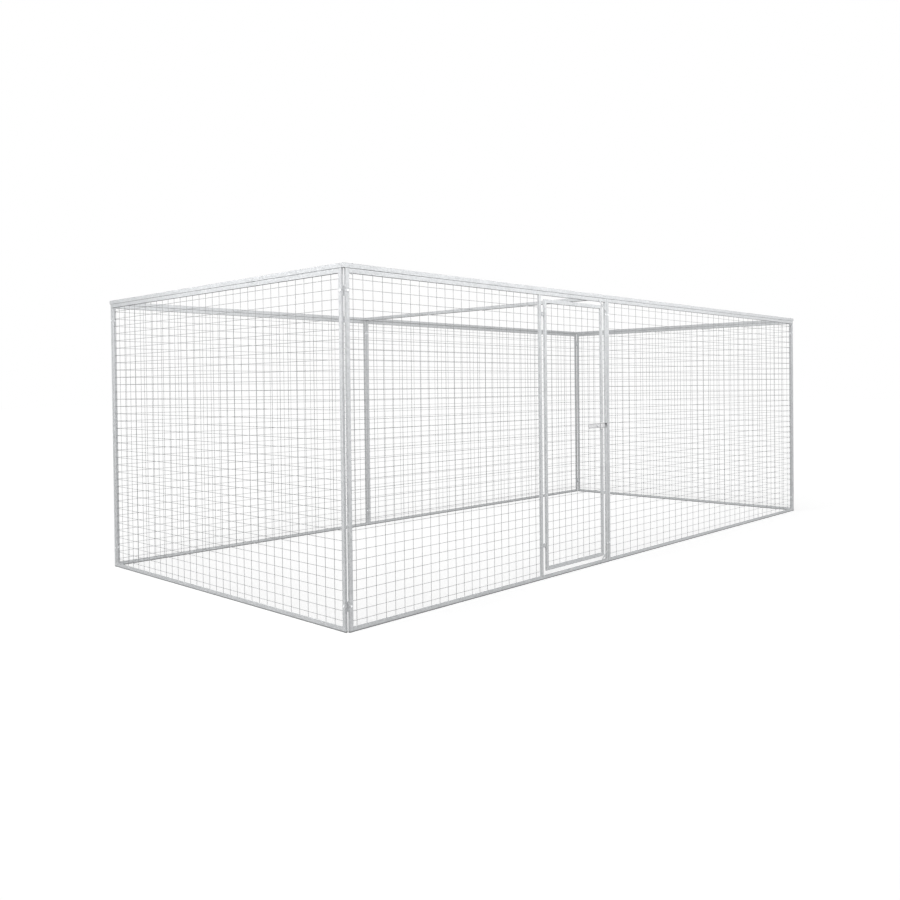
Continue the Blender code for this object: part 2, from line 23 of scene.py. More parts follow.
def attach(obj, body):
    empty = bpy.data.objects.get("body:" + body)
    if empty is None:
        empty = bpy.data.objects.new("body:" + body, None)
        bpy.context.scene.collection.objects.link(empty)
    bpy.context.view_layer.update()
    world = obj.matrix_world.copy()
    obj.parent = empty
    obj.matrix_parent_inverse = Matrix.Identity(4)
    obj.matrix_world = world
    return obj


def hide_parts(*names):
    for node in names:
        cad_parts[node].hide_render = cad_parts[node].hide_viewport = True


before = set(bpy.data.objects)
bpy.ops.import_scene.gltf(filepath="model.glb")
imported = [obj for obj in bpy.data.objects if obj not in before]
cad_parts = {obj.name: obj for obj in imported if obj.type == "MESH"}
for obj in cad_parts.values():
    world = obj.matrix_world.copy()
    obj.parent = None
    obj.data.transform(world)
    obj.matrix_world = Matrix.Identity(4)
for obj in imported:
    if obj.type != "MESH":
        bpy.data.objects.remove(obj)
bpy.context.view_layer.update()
LOG = logging.getLogger("cat_enclosure")

Point = tuple[float, float, float]
Box = tuple[Point, Point]
Line = tuple[Point, Point]
Seam = tuple[Vector, Vector]
Outline = list[tuple[float, float]]
Feed = Any

SHARP_ANGLE = math.radians(35)
INNER_EASE = 0.0002
WELD_SINK = 0.0009
WELD_CLEAR = 0.0022
WELD_PROUD = 0.0002
CUT_PAST = 0.001
OUTWARDS = Matrix.Rotation(math.pi / 2, 4, "X")


# Socket maths

def operator(operation: str, swapped: bool = False) -> Callable[[Value, Feed], Value]:
    """Makes one of a Value's Python operators.

    Args:
        operation: The Math node's operation.
        swapped: Whether the other term comes first.

    Returns:
        The operator's method.
    """
    def joined(value: Value, other: Feed) -> Value:
        """This value and another, joined by a Math node."""
        return value.graph.math(operation, *((other, value) if swapped else (value, other)))

    return joined


class Value:
    """A node's output that can be added, subtracted, multiplied and divided in Python."""

    def __init__(self, graph: Graph, socket: bpy.types.NodeSocket) -> None:
        """Keeps the output and the graph that it belongs to."""
        self.graph = graph
        self.socket = socket

    __add__, __radd__ = operator("ADD"), operator("ADD", swapped=True)
    __sub__, __rsub__ = operator("SUBTRACT"), operator("SUBTRACT", swapped=True)
    __mul__, __rmul__ = operator("MULTIPLY"), operator("MULTIPLY", swapped=True)
    __truediv__ = operator("DIVIDE")


class Graph:
    """A node tree with one way to add a node and one way to do sums."""

    def __init__(self, tree: bpy.types.NodeTree) -> None:
        """Empties the tree and keeps it."""
        self.tree = tree
        tree.nodes.clear()

    @staticmethod
    def pick(sockets: Iterable[bpy.types.NodeSocket], key: str | int) -> bpy.types.NodeSocket:
        """Finds a socket.

        Args:
            sockets: A node's inputs or outputs.
            key: The socket's place in the list, its identifier or its name.

        Returns:
            The first socket in use that fits the key.
        """
        if isinstance(key, int):
            return list(sockets)[key]
        return next(s for s in sockets if s.enabled and key in (s.identifier, s.name))

    def node(self, kind: str, settings: Mapping[str, Any] | None = None,
             inputs: Mapping[str | int, Feed] | None = None) -> bpy.types.Node:
        """Adds a node.

        Args:
            kind: The node's type name.
            settings: Properties that are set first.
            inputs: Values or links for its sockets.

        Returns:
            The new node.
        """
        made = self.tree.nodes.new(kind)
        for name, value in (settings or {}).items():
            setattr(made, name, value)
        for key, value in (inputs or {}).items():
            self.feed(self.pick(made.inputs, key), value)
        return made

    def feed(self, socket: bpy.types.NodeSocket, value: Feed) -> None:
        """Links or sets an input.

        Args:
            socket: The input.
            value: A Value to link, a list of them for a joined input, or a plain value.
        """
        for part in value if isinstance(value, list) else [value]:
            if isinstance(part, Value):
                self.tree.links.new(part.socket, socket)
            elif socket.type == "RGBA" and len(part) == 3:
                socket.default_value = (*part, 1.0)
            else:
                socket.default_value = part

    def out(self, node: bpy.types.Node, key: str | int = 0) -> Value:
        """One of a node's outputs, as a Value."""
        return Value(self, self.pick(node.outputs, key))

    def value(self, kind: str, settings: Mapping[str, Any] | None = None,
              inputs: Mapping[str | int, Feed] | None = None, key: str | int = 0) -> Value:
        """Adds a node and gives one of its outputs.

        Args:
            kind: The node's type name.
            settings: Properties that are set first.
            inputs: Values or links for its sockets.
            key: Which output.

        Returns:
            That output.
        """
        return self.out(self.node(kind, settings, inputs), key)

    def math(self, operation: str, *terms: Feed) -> Value:
        """The result of a Math node on one or more terms."""
        return self.value("ShaderNodeMath", {"operation": operation}, dict(enumerate(terms)))

    def vector(self, x: Feed = 0.0, y: Feed = 0.0, z: Feed = 0.0) -> Value:
        """A vector from three values."""
        return self.value("ShaderNodeCombineXYZ", None, {0: x, 1: y, 2: z})

    def axis(self, vector: Feed, name: str) -> Value:
        """One of a vector's three values."""
        return self.value("ShaderNodeSeparateXYZ", None, {0: vector}, name)

    def clamped(self, value: Feed) -> Value:
        """A value kept from 0 to 1."""
        return self.value("ShaderNodeClamp", None, {"Value": value})

    def vector_math(self, operation: str, *terms: Feed) -> Value:
        """The result of a Vector Math node on one or more terms."""
        return self.value("ShaderNodeVectorMath", {"operation": operation}, dict(enumerate(terms)))

    def scaled(self, vector: Feed, factor: Feed) -> Value:
        """A vector times a number."""
        return self.value("ShaderNodeVectorMath", {"operation": "SCALE"}, {0: vector, "Scale": factor})


class ShaderGraph(Graph):
    """A material's nodes, with the textures that the finishes share."""

    def __init__(self, name: str) -> None:
        """Makes a material with an empty tree.

        Args:
            name: The material's name.
        """
        self.material = bpy.data.materials.new(name)
        self.material.use_nodes = True
        super().__init__(self.material.node_tree)
        self.place = self.value("ShaderNodeTexCoord", None, None, "Object")

    def noise(self, scale: float, detail: float = 2.0, place: Value | None = None) -> Value:
        """Noise from 0 to 1.

        Args:
            scale: Cycles a metre.
            detail: Octaves.
            place: Coordinates, or the object's own where none are given.

        Returns:
            The noise.
        """
        return self.value("ShaderNodeTexNoise", None,
                          {"Vector": place or self.place, "Scale": scale, "Detail": detail}, "Fac")

    def stretched(self, scale: Point) -> Value:
        """The object's coordinates, scaled apart along the three axes."""
        return self.value("ShaderNodeMapping", None, {"Vector": self.place, "Scale": scale})

    def tint(self, shade: Value, dark: Point, light: Point) -> Value:
        """A colour between two.

        Args:
            shade: From 0, dark, to 1, light. The node keeps it in that range.
            dark: The dark colour.
            light: The light colour.

        Returns:
            The colour.
        """
        return self.value("ShaderNodeMix", {"data_type": "RGBA"},
                          {"Factor_Float": shade, "A_Color": dark, "B_Color": light}, "Result_Color")

    def attribute(self, name: str) -> Value:
        """A number that the mesh keeps under a name."""
        return self.value("ShaderNodeAttribute", {"attribute_name": name}, None, "Fac")

    def height(self) -> Value:
        """The height above the ground, at rest."""
        return self.axis(self.place, "Z")

    def under(self) -> Value:
        """1 where a surface faces straight down, and soon 0 as it turns aside."""
        normal = self.value("ShaderNodeNewGeometry", None, None, "Normal")
        return self.math("POWER", self.clamped(self.axis(normal, "Z") * -1.0), 5.0)

    def bump(self, height: Value, depth: float, strength: float) -> Value:
        """A normal from a height, with depth in metres."""
        return self.value("ShaderNodeBump", None, {"Height": height, "Distance": depth, "Strength": strength})

    def surface(self, colour: Feed, roughness: Feed, metallic: Feed, normal: Feed) -> bpy.types.Material:
        """Ends the material in a Principled shader.

        Args:
            colour: Base colour.
            roughness: Roughness.
            metallic: Metallic value.
            normal: Normal.

        Returns:
            The finished material.
        """
        shader = self.value("ShaderNodeBsdfPrincipled", None, {
            "Base Color": colour, "Roughness": roughness, "Metallic": metallic, "Normal": normal})
        self.node("ShaderNodeOutputMaterial", None, {"Surface": shader})
        return self.material


class Kind(Enum):
    """What a tree's named input holds."""

    LENGTH = "NodeSocketFloat"
    COUNT = "NodeSocketInt"
    MATERIAL = "NodeSocketMaterial"
    GEOMETRY = "NodeSocketGeometry"


class GeometryGraph(Graph):
    """A Geometry Nodes tree with named inputs, of which a seed and a material are common to all."""

    def __init__(self, name: str) -> None:
        """Makes an empty tree with a geometry input and a seed.

        Args:
            name: The tree's name.
        """
        super().__init__(bpy.data.node_groups.new(name, "GeometryNodeTree"))
        for way in ("INPUT", "OUTPUT"):
            self.tree.interface.new_socket("Geometry", in_out=way, socket_type=Kind.GEOMETRY.value)
        self.entry = self.node("NodeGroupInput")
        self.seed, = self.named(Kind.COUNT, "Seed")

    def named(self, kind: Kind, *names: str) -> list[Value]:
        """Adds named inputs to the tree.

        Args:
            kind: What they hold.
            names: Their names.

        Returns:
            The inputs as Values, in the same order.
        """
        for name in names:
            self.tree.interface.new_socket(name, in_out="INPUT", socket_type=kind.value)
        return [self.out(self.entry, name) for name in names]

    def source(self) -> Value:
        """The geometry of the object that carries the tree."""
        return self.out(self.entry, "Geometry")

    def join(self, *parts: Value) -> Value:
        """Several geometries as one."""
        return self.value("GeometryNodeJoinGeometry", None, {"Geometry": list(parts)})

    def moved(self, part: Value, place: Feed, turn: Feed = (0.0, 0.0, 0.0)) -> Value:
        """A geometry moved and turned."""
        return self.value("GeometryNodeTransform", None, {
            "Geometry": part, "Translation": place, "Rotation": turn})

    def instances(self, points: Value, shape: Value, **more: Feed) -> Value:
        """A shape set on points, with a Rotation or a Scale where these are given."""
        return self.value("GeometryNodeInstanceOnPoints", None, {"Points": points, "Instance": shape, **more})

    def plain(self, shape: Value) -> Value:
        """Instances made real."""
        return self.value("GeometryNodeRealizeInstances", None, {"Geometry": shape})

    def stub(self, sides: int, top: Feed, bottom: Feed, depth: Feed, low: Feed) -> Value:
        """A round or flat-sided stub on the z axis.

        Args:
            sides: Sides.
            top: Radius at its top.
            bottom: Radius at its bottom.
            depth: Height.
            low: Where it starts, in z.

        Returns:
            Its surface.
        """
        return self.moved(self.value("GeometryNodeMeshCone", None, {
            "Vertices": sides, "Radius Top": top, "Radius Bottom": bottom, "Depth": depth}),
            self.vector(0.0, 0.0, low))

    def swept(self, curve: Value, sides: Feed, radius: Feed) -> Value:
        """A round section swept along a curve, with its ends closed.

        Args:
            curve: The curve.
            sides: The section's sides.
            radius: The section's radius.

        Returns:
            The surface.
        """
        section = self.value("GeometryNodeCurvePrimitiveCircle", {"mode": "RADIUS"}, {
            "Resolution": sides, "Radius": radius})
        return self.value("GeometryNodeCurveToMesh", None, {
            "Curve": curve, "Profile Curve": section, "Fill Caps": True})

    def random(self, low: Point, high: Point, seed: Feed) -> Value:
        """A random vector between two, another for each point."""
        return self.value("FunctionNodeRandomValue", {"data_type": "FLOAT_VECTOR"}, {
            "Min": low, "Max": high, "Seed": seed})

    def finish(self, shape: Value) -> GeometryGraph:
        """Ends the tree in smooth shading, Realize Instances and Set Material.

        Args:
            shape: The geometry.

        Returns:
            The finished tree.
        """
        material, = self.named(Kind.MATERIAL, "Material")
        shaded = self.value("GeometryNodeSetShadeSmooth", None, {"Geometry": shape, "Shade Smooth": True})
        dressed = self.value("GeometryNodeSetMaterial", None, {
            "Geometry": self.plain(shaded), "Material": material})
        self.node("NodeGroupOutput", None, {"Geometry": dressed})
        return self

    def realise(self, sizes: Any, finish: bpy.types.Material,
                source: bpy.types.Mesh | None = None) -> bpy.types.Mesh:
        """Runs the tree and gives its result as a plain mesh.

        Args:
            sizes: What holds a value for each named input, as a field of the same name.
            finish: The material.
            source: The mesh that the tree starts from, if it needs one.

        Returns:
            The mesh, with no modifier left.
        """
        carrier = placed("carrier", source or bpy.data.meshes.new("carrier"))
        modifier = carrier.modifiers.new("tree", "NODES")
        modifier.node_group = self.tree
        for item in self.tree.interface.items_tree:
            if item.name == "Material":
                modifier[item.identifier] = finish
            elif item.name != "Geometry":
                modifier[item.identifier] = getattr(sizes, item.name.lower().replace(" ", "_"))
        mesh = evaluated_mesh(carrier)
        bpy.data.objects.remove(carrier)
        return mesh


def placed(name: str, data: bpy.types.ID) -> bpy.types.Object:
    """Puts an object in the scene.

    Args:
        name: Its name.
        data: Its mesh, camera or lamp.

    Returns:
        The object, at the origin.
    """
    obj = bpy.data.objects.new(name, data)
    bpy.context.scene.collection.objects.link(obj)
    return obj


def evaluated_mesh(obj: bpy.types.Object) -> bpy.types.Mesh:
    """An object's mesh with its modifiers applied."""
    graph = bpy.context.evaluated_depsgraph_get()
    graph.update()
    return bpy.data.meshes.new_from_object(obj.evaluated_get(graph), depsgraph=graph)


# Finishes

class Slot(Enum):
    """The record's material slots."""

    TUBE = "tube_steel"
    WIRE = "mesh_wire"
    BOLT = "bolt_steel"
    LATCH = "latch_steel"


@dataclass(frozen=True)
class ZincTube:
    """Zinc on drawn tube: faint spangle, speckle and streaks, with painted shade on the rounded bends and
    undersides and a painted contact shadow along the foot.
    """

    dark: Point = (0.36, 0.37, 0.38)
    light: Point = (0.66, 0.67, 0.68)
    metallic: float = 0.30
    warp_scale: float = 60.0
    warp: float = 0.006
    spangle: float = 105.0
    speckle: float = 900.0
    roughness: float = 0.40
    bend_painted_shade: float = 0.40
    underside_painted_shade: float = 0.94
    foot_painted_shadow: float = 0.62
    foot_height: float = 0.0055
    foot_start: float = 1.6
    streaks: Point = (7.0, 900.0, 1.0)
    grain_depth: float = 0.00022

    def material(self) -> bpy.types.Material:
        """Builds the finish.

        Returns:
            The material.
        """
        graph = ShaderGraph("zinc_tube")
        warp = graph.value("ShaderNodeTexNoise", None, {
            "Vector": graph.place, "Scale": self.warp_scale}, "Color")
        bent = graph.vector_math("ADD", graph.place, graph.scaled(warp, self.warp))
        cells = graph.node("ShaderNodeTexVoronoi", {"feature": "F1"}, {"Vector": bent, "Scale": self.spangle})
        flake = graph.value("ShaderNodeSeparateColor", None, {"Color": graph.out(cells, "Color")}, "Red")
        speckle = graph.noise(self.speckle, 3.0)
        cloud = graph.noise(9.0, 3.0)
        run = graph.value("ShaderNodeUVMap", {"uv_map": "run"})
        streak = graph.noise(1.0, 2.0, graph.vector_math("MULTIPLY", run, self.streaks))
        shade = 0.34 * flake + 0.32 * speckle + 0.28 * cloud + 0.22 * streak - 0.05
        grain = flake * 0.5 + speckle * 0.6 + streak * 0.4
        # Painted shade: colour darkened on rounded bends and on downward faces, which are also made rougher
        # and less metallic, and a painted contact shadow near the ground.
        bend, under = graph.attribute("corner"), graph.under()
        foot = graph.clamped(self.foot_start - graph.height() / self.foot_height)
        painted_darkening = (1 - self.bend_painted_shade * bend) * (1 - self.underside_painted_shade * under)
        painted_darkening = painted_darkening * (1 - self.foot_painted_shadow * foot)
        return graph.surface(
            graph.scaled(graph.tint(shade, self.dark, self.light), painted_darkening),
            self.roughness + 0.16 * flake + 0.10 * cloud + 0.5 * under,
            self.metallic * (1 - under), graph.bump(grain, self.grain_depth, 0.35))


@dataclass(frozen=True)
class MeshWire:
    """Drawn wire, zinc coated after welding: duller than the tube, with small runs."""

    dark: Point = (0.17, 0.173, 0.177)
    light: Point = (0.40, 0.405, 0.41)
    metallic: float = 0.35

    def material(self) -> bpy.types.Material:
        """Builds the finish.

        Returns:
            The material.
        """
        graph = ShaderGraph("mesh_wire")
        runs = graph.noise(38.0, 3.0)
        speckle = graph.noise(1400.0, 2.0)
        shade = 0.75 * runs + 0.45 * speckle - 0.12
        return graph.surface(
            graph.tint(shade, self.dark, self.light), 0.36 + 0.2 * speckle, self.metallic,
            graph.bump(runs + 0.5 * speckle, 0.0002, 0.4))


@dataclass(frozen=True)
class BoltZinc:
    """Bright zinc plate on bolts, nuts and pins, dulled in patches, with painted shade round the heads' rims.
    """

    dark: Point = (0.66, 0.67, 0.69)
    light: Point = (0.95, 0.96, 0.97)
    metallic: float = 0.85
    rim_painted_shade: float = 0.82

    def material(self) -> bpy.types.Material:
        """Builds the finish.

        Returns:
            The material.
        """
        graph = ShaderGraph("bolt_zinc")
        patch = graph.noise(260.0, 3.0)
        scuff = graph.noise(2600.0, 2.0)
        shade = 0.9 * patch + 0.4 * scuff - 0.05
        # Painted shade: colour darkened where the "rim" attribute marks a head's lower edge.
        painted_darkening = 1 - self.rim_painted_shade * graph.attribute("rim")
        return graph.surface(
            graph.scaled(graph.tint(shade, self.dark, self.light), painted_darkening),
            0.16 + 0.22 * patch + 0.08 * scuff, self.metallic, graph.bump(scuff, 0.00008, 0.3))


@dataclass(frozen=True)
class LatchSteel:
    """Zinc plated flat bar with lengthwise scratches from sliding, and painted shade along its two long edges
    and on its undersides.
    """

    dark: Point = (0.48, 0.48, 0.49)
    light: Point = (0.80, 0.80, 0.81)
    metallic: float = 0.4
    underside_painted_shade: float = 0.9
    level: float = 0.937
    edge_shade_from_level: float = 0.0138
    edge_shade_width: float = 0.0022
    edge_painted_shade: float = 0.8
    brushing: Point = (26.0, 2600.0, 2600.0)
    scratches: Point = (9.0, 900.0, 900.0)
    scratch_from: float = 0.58
    scratch_fade: float = 0.10

    def material(self) -> bpy.types.Material:
        """Builds the finish.

        Returns:
            The material.
        """
        graph = ShaderGraph("latch_steel")
        brushed = graph.noise(1.0, 3.0, graph.stretched(self.brushing))
        deep = graph.noise(1.0, 1.0, graph.stretched(self.scratches))
        scratch = graph.clamped((deep - self.scratch_from) / self.scratch_fade)
        patch = graph.noise(90.0, 3.0)
        shade = 0.55 * brushed + 0.5 * patch - 0.25 * scratch
        # Painted shade: colour darkened on downward faces and in thin lines along the bar's top and bottom
        # edges.
        under = graph.under()
        away = graph.math("ABSOLUTE", graph.height() - self.level)
        edge = graph.clamped(1 - graph.math("ABSOLUTE", away - self.edge_shade_from_level) / self.edge_shade_width)
        painted_darkening = (1 - self.underside_painted_shade * under) * (1 - self.edge_painted_shade * edge)
        return graph.surface(
            graph.scaled(graph.tint(shade, self.dark, self.light), painted_darkening),
            0.30 + 0.2 * brushed + 0.1 * patch + 0.4 * under, self.metallic,
            graph.bump(brushed - 0.6 * scratch, 0.00012, 0.4))


@dataclass(frozen=True)
class WeldMetal:
    """Weld metal brushed over with cold zinc: matt, lumpy and a little warmer."""

    dark: Point = (0.30, 0.29, 0.28)
    light: Point = (0.58, 0.575, 0.56)
    metallic: float = 0.4

    def material(self) -> bpy.types.Material:
        """Builds the finish.

        Returns:
            The material.
        """
        graph = ShaderGraph("weld_metal")
        lumps = graph.noise(520.0, 3.0)
        burn = graph.noise(45.0, 2.0)
        return graph.surface(
            graph.tint(0.6 * lumps + 0.5 * burn, self.dark, self.light), 0.52 + 0.2 * lumps,
            self.metallic, graph.bump(lumps, 0.0003, 0.5))


@dataclass(frozen=True)
class Finishes:
    """The enclosure's materials, one for each kind of surface."""

    tube: bpy.types.Material
    wire: bpy.types.Material
    bolt: bpy.types.Material
    latch: bpy.types.Material
    weld: bpy.types.Material

    @staticmethod
    def make() -> Finishes:
        """Builds all of them."""
        return Finishes(ZincTube().material(), MeshWire().material(), BoltZinc().material(),
                        LatchSteel().material(), WeldMetal().material())


# Sizes and places

@dataclass(frozen=True)
class Sizes:
    """The enclosure's sizes in metres, the same as those of its solids, and the places that follow."""

    length: float = 5.500
    width: float = 2.500
    panel_height: float = 1.800
    left_bay: float = 2.315
    face: float = 0.025
    depth: float = 0.012
    corner_clearance: float = 0.002
    fit: float = 0.0003
    leaf_width: float = 0.648
    hinge_side_gap: float = 0.029
    latch_side_gap: float = 0.028
    leaf_floor_gap: float = 0.025
    leaf_head_gap: float = 0.023
    lower_hinge_rise: float = 0.150
    upper_hinge_drop: float = 0.105
    latch_height: float = 0.937
    bolt_levels: tuple[float, float] = (0.128, 1.688)
    roof_bolt_from_end: float = 0.060

    # Places along a wall, and levels
    middle: float = depth / 2
    stile_start: float = depth + corner_clearance
    latch_face: float = left_bay - fit / 2 - face
    leaf_right: float = latch_face - latch_side_gap
    leaf_left: float = leaf_right - leaf_width
    post_right: float = leaf_left - hinge_side_gap
    hinge_x: float = post_right + hinge_side_gap / 2
    leaf_bottom: float = face + leaf_floor_gap
    leaf_top: float = panel_height - face - leaf_head_gap
    hinge_levels: tuple[float, float] = (leaf_bottom + lower_hinge_rise, leaf_top - upper_hinge_drop)
    roof_base: float = panel_height + fit


SIZE = Sizes()


class Side(Enum):
    """A wall: the signs of its outer left corner, its quarter turns and where its two frames meet."""

    LEFT = (-1, 1, -1, None)
    RIGHT = (1, -1, 1, None)
    FRONT = (-1, -1, 0, SIZE.left_bay)
    REAR = (1, 1, 2, SIZE.length - SIZE.left_bay)

    @property
    def matrix(self) -> Matrix:
        """What takes the wall's own coordinates to the enclosure's."""
        x, y, turns = self.value[:3]
        corner = Matrix.Translation((x * SIZE.length / 2, y * SIZE.width / 2, 0))
        return corner @ Matrix.Rotation(turns * math.pi / 2, 4, "Z")

    @property
    def joint(self) -> float | None:
        """Where two frames meet along the wall, or None where it has one frame."""
        return self.value[3]

    @property
    def spans(self) -> list[tuple[float, float]]:
        """Where each of the wall's frames begins and ends along it."""
        start, gap = SIZE.stile_start, SIZE.fit / 2
        if self.joint is None:
            return [(start, SIZE.width - start)]
        return [(start, self.joint - gap), (self.joint + gap, SIZE.length - start)]


class Run(Enum):
    """Which way a tube runs in its wall: the two axes of its section, then that of its run."""

    UP = (0, 1, 2)
    ALONG = (1, 2, 0)
    INWARDS = (2, 0, 1)


# Outlines and shells

def rounded(corners: Sequence[tuple[float, float, float]], steps: int = 3) -> Outline:
    """Rounds the corners of a polygon.

    Args:
        corners: Each corner's x, y and radius, counter-clockwise.
        steps: Segments in each corner.

    Returns:
        The outline's points.
    """
    points: Outline = []
    for index, (x, y, radius) in enumerate(corners):
        here = Vector((x, y))
        back = (Vector(corners[index - 1][:2]) - here).normalized()
        onward = (Vector(corners[(index + 1) % len(corners)][:2]) - here).normalized()
        half = back.angle(onward) / 2
        centre = here + (back + onward).normalized() * (radius / math.sin(half))
        start, end = (here + way * (radius / math.tan(half)) - centre for way in (back, onward))
        turn = math.atan2(start.x * end.y - start.y * end.x, start.dot(end))
        for step in range(steps + 1):
            cosine, sine = math.cos(turn * step / steps), math.sin(turn * step / steps)
            points.append((centre.x + start.x * cosine - start.y * sine,
                           centre.y + start.x * sine + start.y * cosine))
    return points


def rounded_rectangle(width: float, height: float, radius: float, steps: int = 3) -> Outline:
    """A rounded rectangle round the origin."""
    x, y = width / 2, height / 2
    return rounded([(-x, -y, radius), (x, -y, radius), (x, y, radius), (-x, y, radius)], steps)


def circle(radius: float, sides: int) -> Outline:
    """A circle round the origin."""
    angles = [2 * math.pi * i / sides for i in range(sides)]
    return [(radius * math.cos(angle), radius * math.sin(angle)) for angle in angles]


def inset(outline: Outline, amount: float) -> Outline:
    """Draws an outline in, square to its edges.

    Args:
        outline: The outline.
        amount: How far.

    Returns:
        The smaller outline, with as many points.
    """
    result: Outline = []
    for index, (x, y) in enumerate(outline):
        before, after = Vector(outline[index - 1]), Vector(outline[(index + 1) % len(outline)])
        along = (after - before).normalized()
        result.append((x - along.y * amount, y + along.x * amount))
    return result


class Shaper:
    """Collects closed shells in one mesh, with each one's run laid out in a UV map."""

    def __init__(self) -> None:
        """Starts with nothing in it."""
        self.mesh = bmesh.new()
        self.layout = self.mesh.loops.layers.uv.new("run")
        self.corner = self.mesh.verts.layers.float.new("corner")

    def loft(self, levels: Sequence[tuple[Outline, float]], place: Matrix, closed: bool = False,
             corners: Sequence[float] = ()) -> None:
        """Joins outlines into a shell.

        Args:
            levels: Outlines with as many points each, counter-clockwise, and their heights.
            place: What takes these coordinates to the piece's.
            closed: Whether the last outline joins the first. If not, both ends are capped.
            corners: For each point of an outline, how much of a corner it is, from 0 to 1.
        """
        rings = [[place @ Vector((x, y, height)) for x, y in outline] for outline, height in levels]
        spans, rounds, count = [0.0], [0.0], len(rings[0])
        for low, high in zip(rings, rings[1:]):
            spans.append(spans[-1] + (high[0] - low[0]).length)
        for i in range(count):
            rounds.append(rounds[-1] + (rings[0][(i + 1) % count] - rings[0][i]).length)
        verts = [[self.mesh.verts.new(point) for point in ring] for ring in rings]
        for ring in verts:
            for vert, amount in zip(ring, corners):
                vert[self.corner] = amount
        for low in range(len(rings) if closed else len(rings) - 1):
            high = (low + 1) % len(rings)
            for i in range(count):
                around = ((low, i), (low, i + 1), (high, i + 1), (high, i))
                face = self.mesh.faces.new([verts[ring][side % count] for ring, side in around])
                for loop, (ring, side) in zip(face.loops, around):
                    loop[self.layout].uv = (spans[ring], rounds[side])
        if not closed:
            self.mesh.faces.new(verts[0][::-1])
            self.mesh.faces.new(verts[-1])

    def prism(self, outline: Outline, low: float, high: float, place: Matrix, soft: float = 0.0004) -> None:
        """Adds a solid with softened end edges.

        Args:
            outline: Its section, in x and y.
            low: Where it starts, in z.
            high: Where it ends.
            place: What takes these coordinates to the piece's.
            soft: How far its end edges are drawn in.
        """
        inner = inset(outline, soft)
        self.loft(((inner, low), (outline, low + soft), (outline, high - soft), (inner, high)), place)

    def turned(self, profile: Sequence[tuple[float, float]], place: Matrix, sides: int = 24,
               closed: bool = False) -> None:
        """Adds a turned shell.

        Args:
            profile: Radius and height pairs, with the outside going up.
            place: What takes these coordinates to the piece's.
            sides: Segments round the axis.
            closed: Whether the profile is a loop, as for a bored part.
        """
        self.loft([(circle(radius, sides), height) for radius, height in profile], place, closed)

    def tube(self, box: Box, run: Run, wall: float = 0.0015, corner: float = 0.002) -> None:
        """Adds a hollow rectangular tube with rounded corners and open ends.

        Args:
            box: Its lowest and highest corners.
            run: Which way it runs.
            wall: Its wall.
            corner: Its outer corner radius.
        """
        low, high = Vector(box[0]), Vector(box[1])
        wide, tall, reach = ((high - low)[axis] for axis in run.value)
        turn = Matrix([[float(axis == row) for axis in run.value] for row in range(3)]).to_4x4()
        outer = rounded_rectangle(wide, tall, corner)
        inner = rounded_rectangle(wide - 2 * wall, tall - 2 * wall, corner - wall + INNER_EASE)
        steps = len(outer) // 4
        self.loft(((outer, -reach / 2), (outer, reach / 2), (inner, reach / 2), (inner, -reach / 2)),
                  Matrix.Translation((low + high) / 2) @ turn, True,
                  [float(0 < i % steps < steps - 1) for i in range(len(outer))])

    def object(self, name: str) -> bpy.types.Object:
        """The shells as an object in the scene, which ends the shaper's own mesh."""
        mesh = bpy.data.meshes.new(name)
        self.mesh.to_mesh(mesh)
        self.mesh.free()
        return placed(name, mesh)

    def cut(self, cutter: Shaper) -> None:
        """Cuts another shaper's shells out of this one's.

        Args:
            cutter: The other shaper, which is used up.
        """
        target, tool = self.object("target"), cutter.object("tool")
        modifier = target.modifiers.new("cut", "BOOLEAN")
        modifier.solver = "EXACT"
        modifier.operation = "DIFFERENCE"
        modifier.object = tool
        result = evaluated_mesh(target)
        for obj in (target, tool):
            bpy.data.objects.remove(obj)
        self.mesh = bmesh.new()
        self.mesh.from_mesh(result)
        self.layout = self.mesh.loops.layers.uv["run"]
        self.corner = self.mesh.verts.layers.float["corner"]

    def carve(self, *spaces: Box) -> None:
        """Cuts boxes out of the shells.

        Args:
            spaces: Each box's lowest and highest corners.
        """
        cutter = Shaper()
        for (x0, y0, z0), (x1, y1, z1) in spaces:
            corners = [(x0, y0), (x1, y0), (x1, y1), (x0, y1)]
            cutter.loft(((corners, z0), (corners, z1)), Matrix())
        self.cut(cutter)

    def finish(self, name: str, material: bpy.types.Material, place: Matrix) -> bpy.types.Object:
        """Turns the shells into a finished object at the origin.

        Args:
            name: The piece's name.
            material: Its material.
            place: What takes its coordinates to the enclosure's.

        Returns:
            The object, smooth between sharp edges.
        """
        bmesh.ops.transform(self.mesh, matrix=place, verts=self.mesh.verts)
        obj = self.object(name)
        smooth_between_edges(obj.data)
        obj.data.materials.append(material)
        obj.modifiers.new("even_normals", "WEIGHTED_NORMAL").keep_sharp = True
        return obj


def smooth_between_edges(mesh: bpy.types.Mesh) -> None:
    """Shades a mesh smooth and marks its sharp edges.

    Args:
        mesh: The mesh.
    """
    work = bmesh.new()
    work.from_mesh(mesh)
    for face in work.faces:
        face.smooth = True
    for edge in work.edges:
        edge.smooth = edge.calc_face_angle(0.0) < SHARP_ANGLE
    work.to_mesh(mesh)
    work.free()


def solids(*endings: str) -> list[str]:
    """The names of the solids that end in one of these."""
    return sorted(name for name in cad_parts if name.endswith(endings))


def hand_over(obj: bpy.types.Object, body: str, slot: Slot, *nodes: str) -> None:
    """Gives a finished piece to the frame.

    Args:
        obj: The piece.
        body: The body that it rides on.
        slot: Not used.
        nodes: The solids that it stands for.
    """
    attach(obj, body)
    if nodes:
        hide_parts(*nodes)
    LOG.info("%s: %d faces on %s, for %d solids", obj.name, len(obj.data.polygons), body, len(nodes))


# Welds

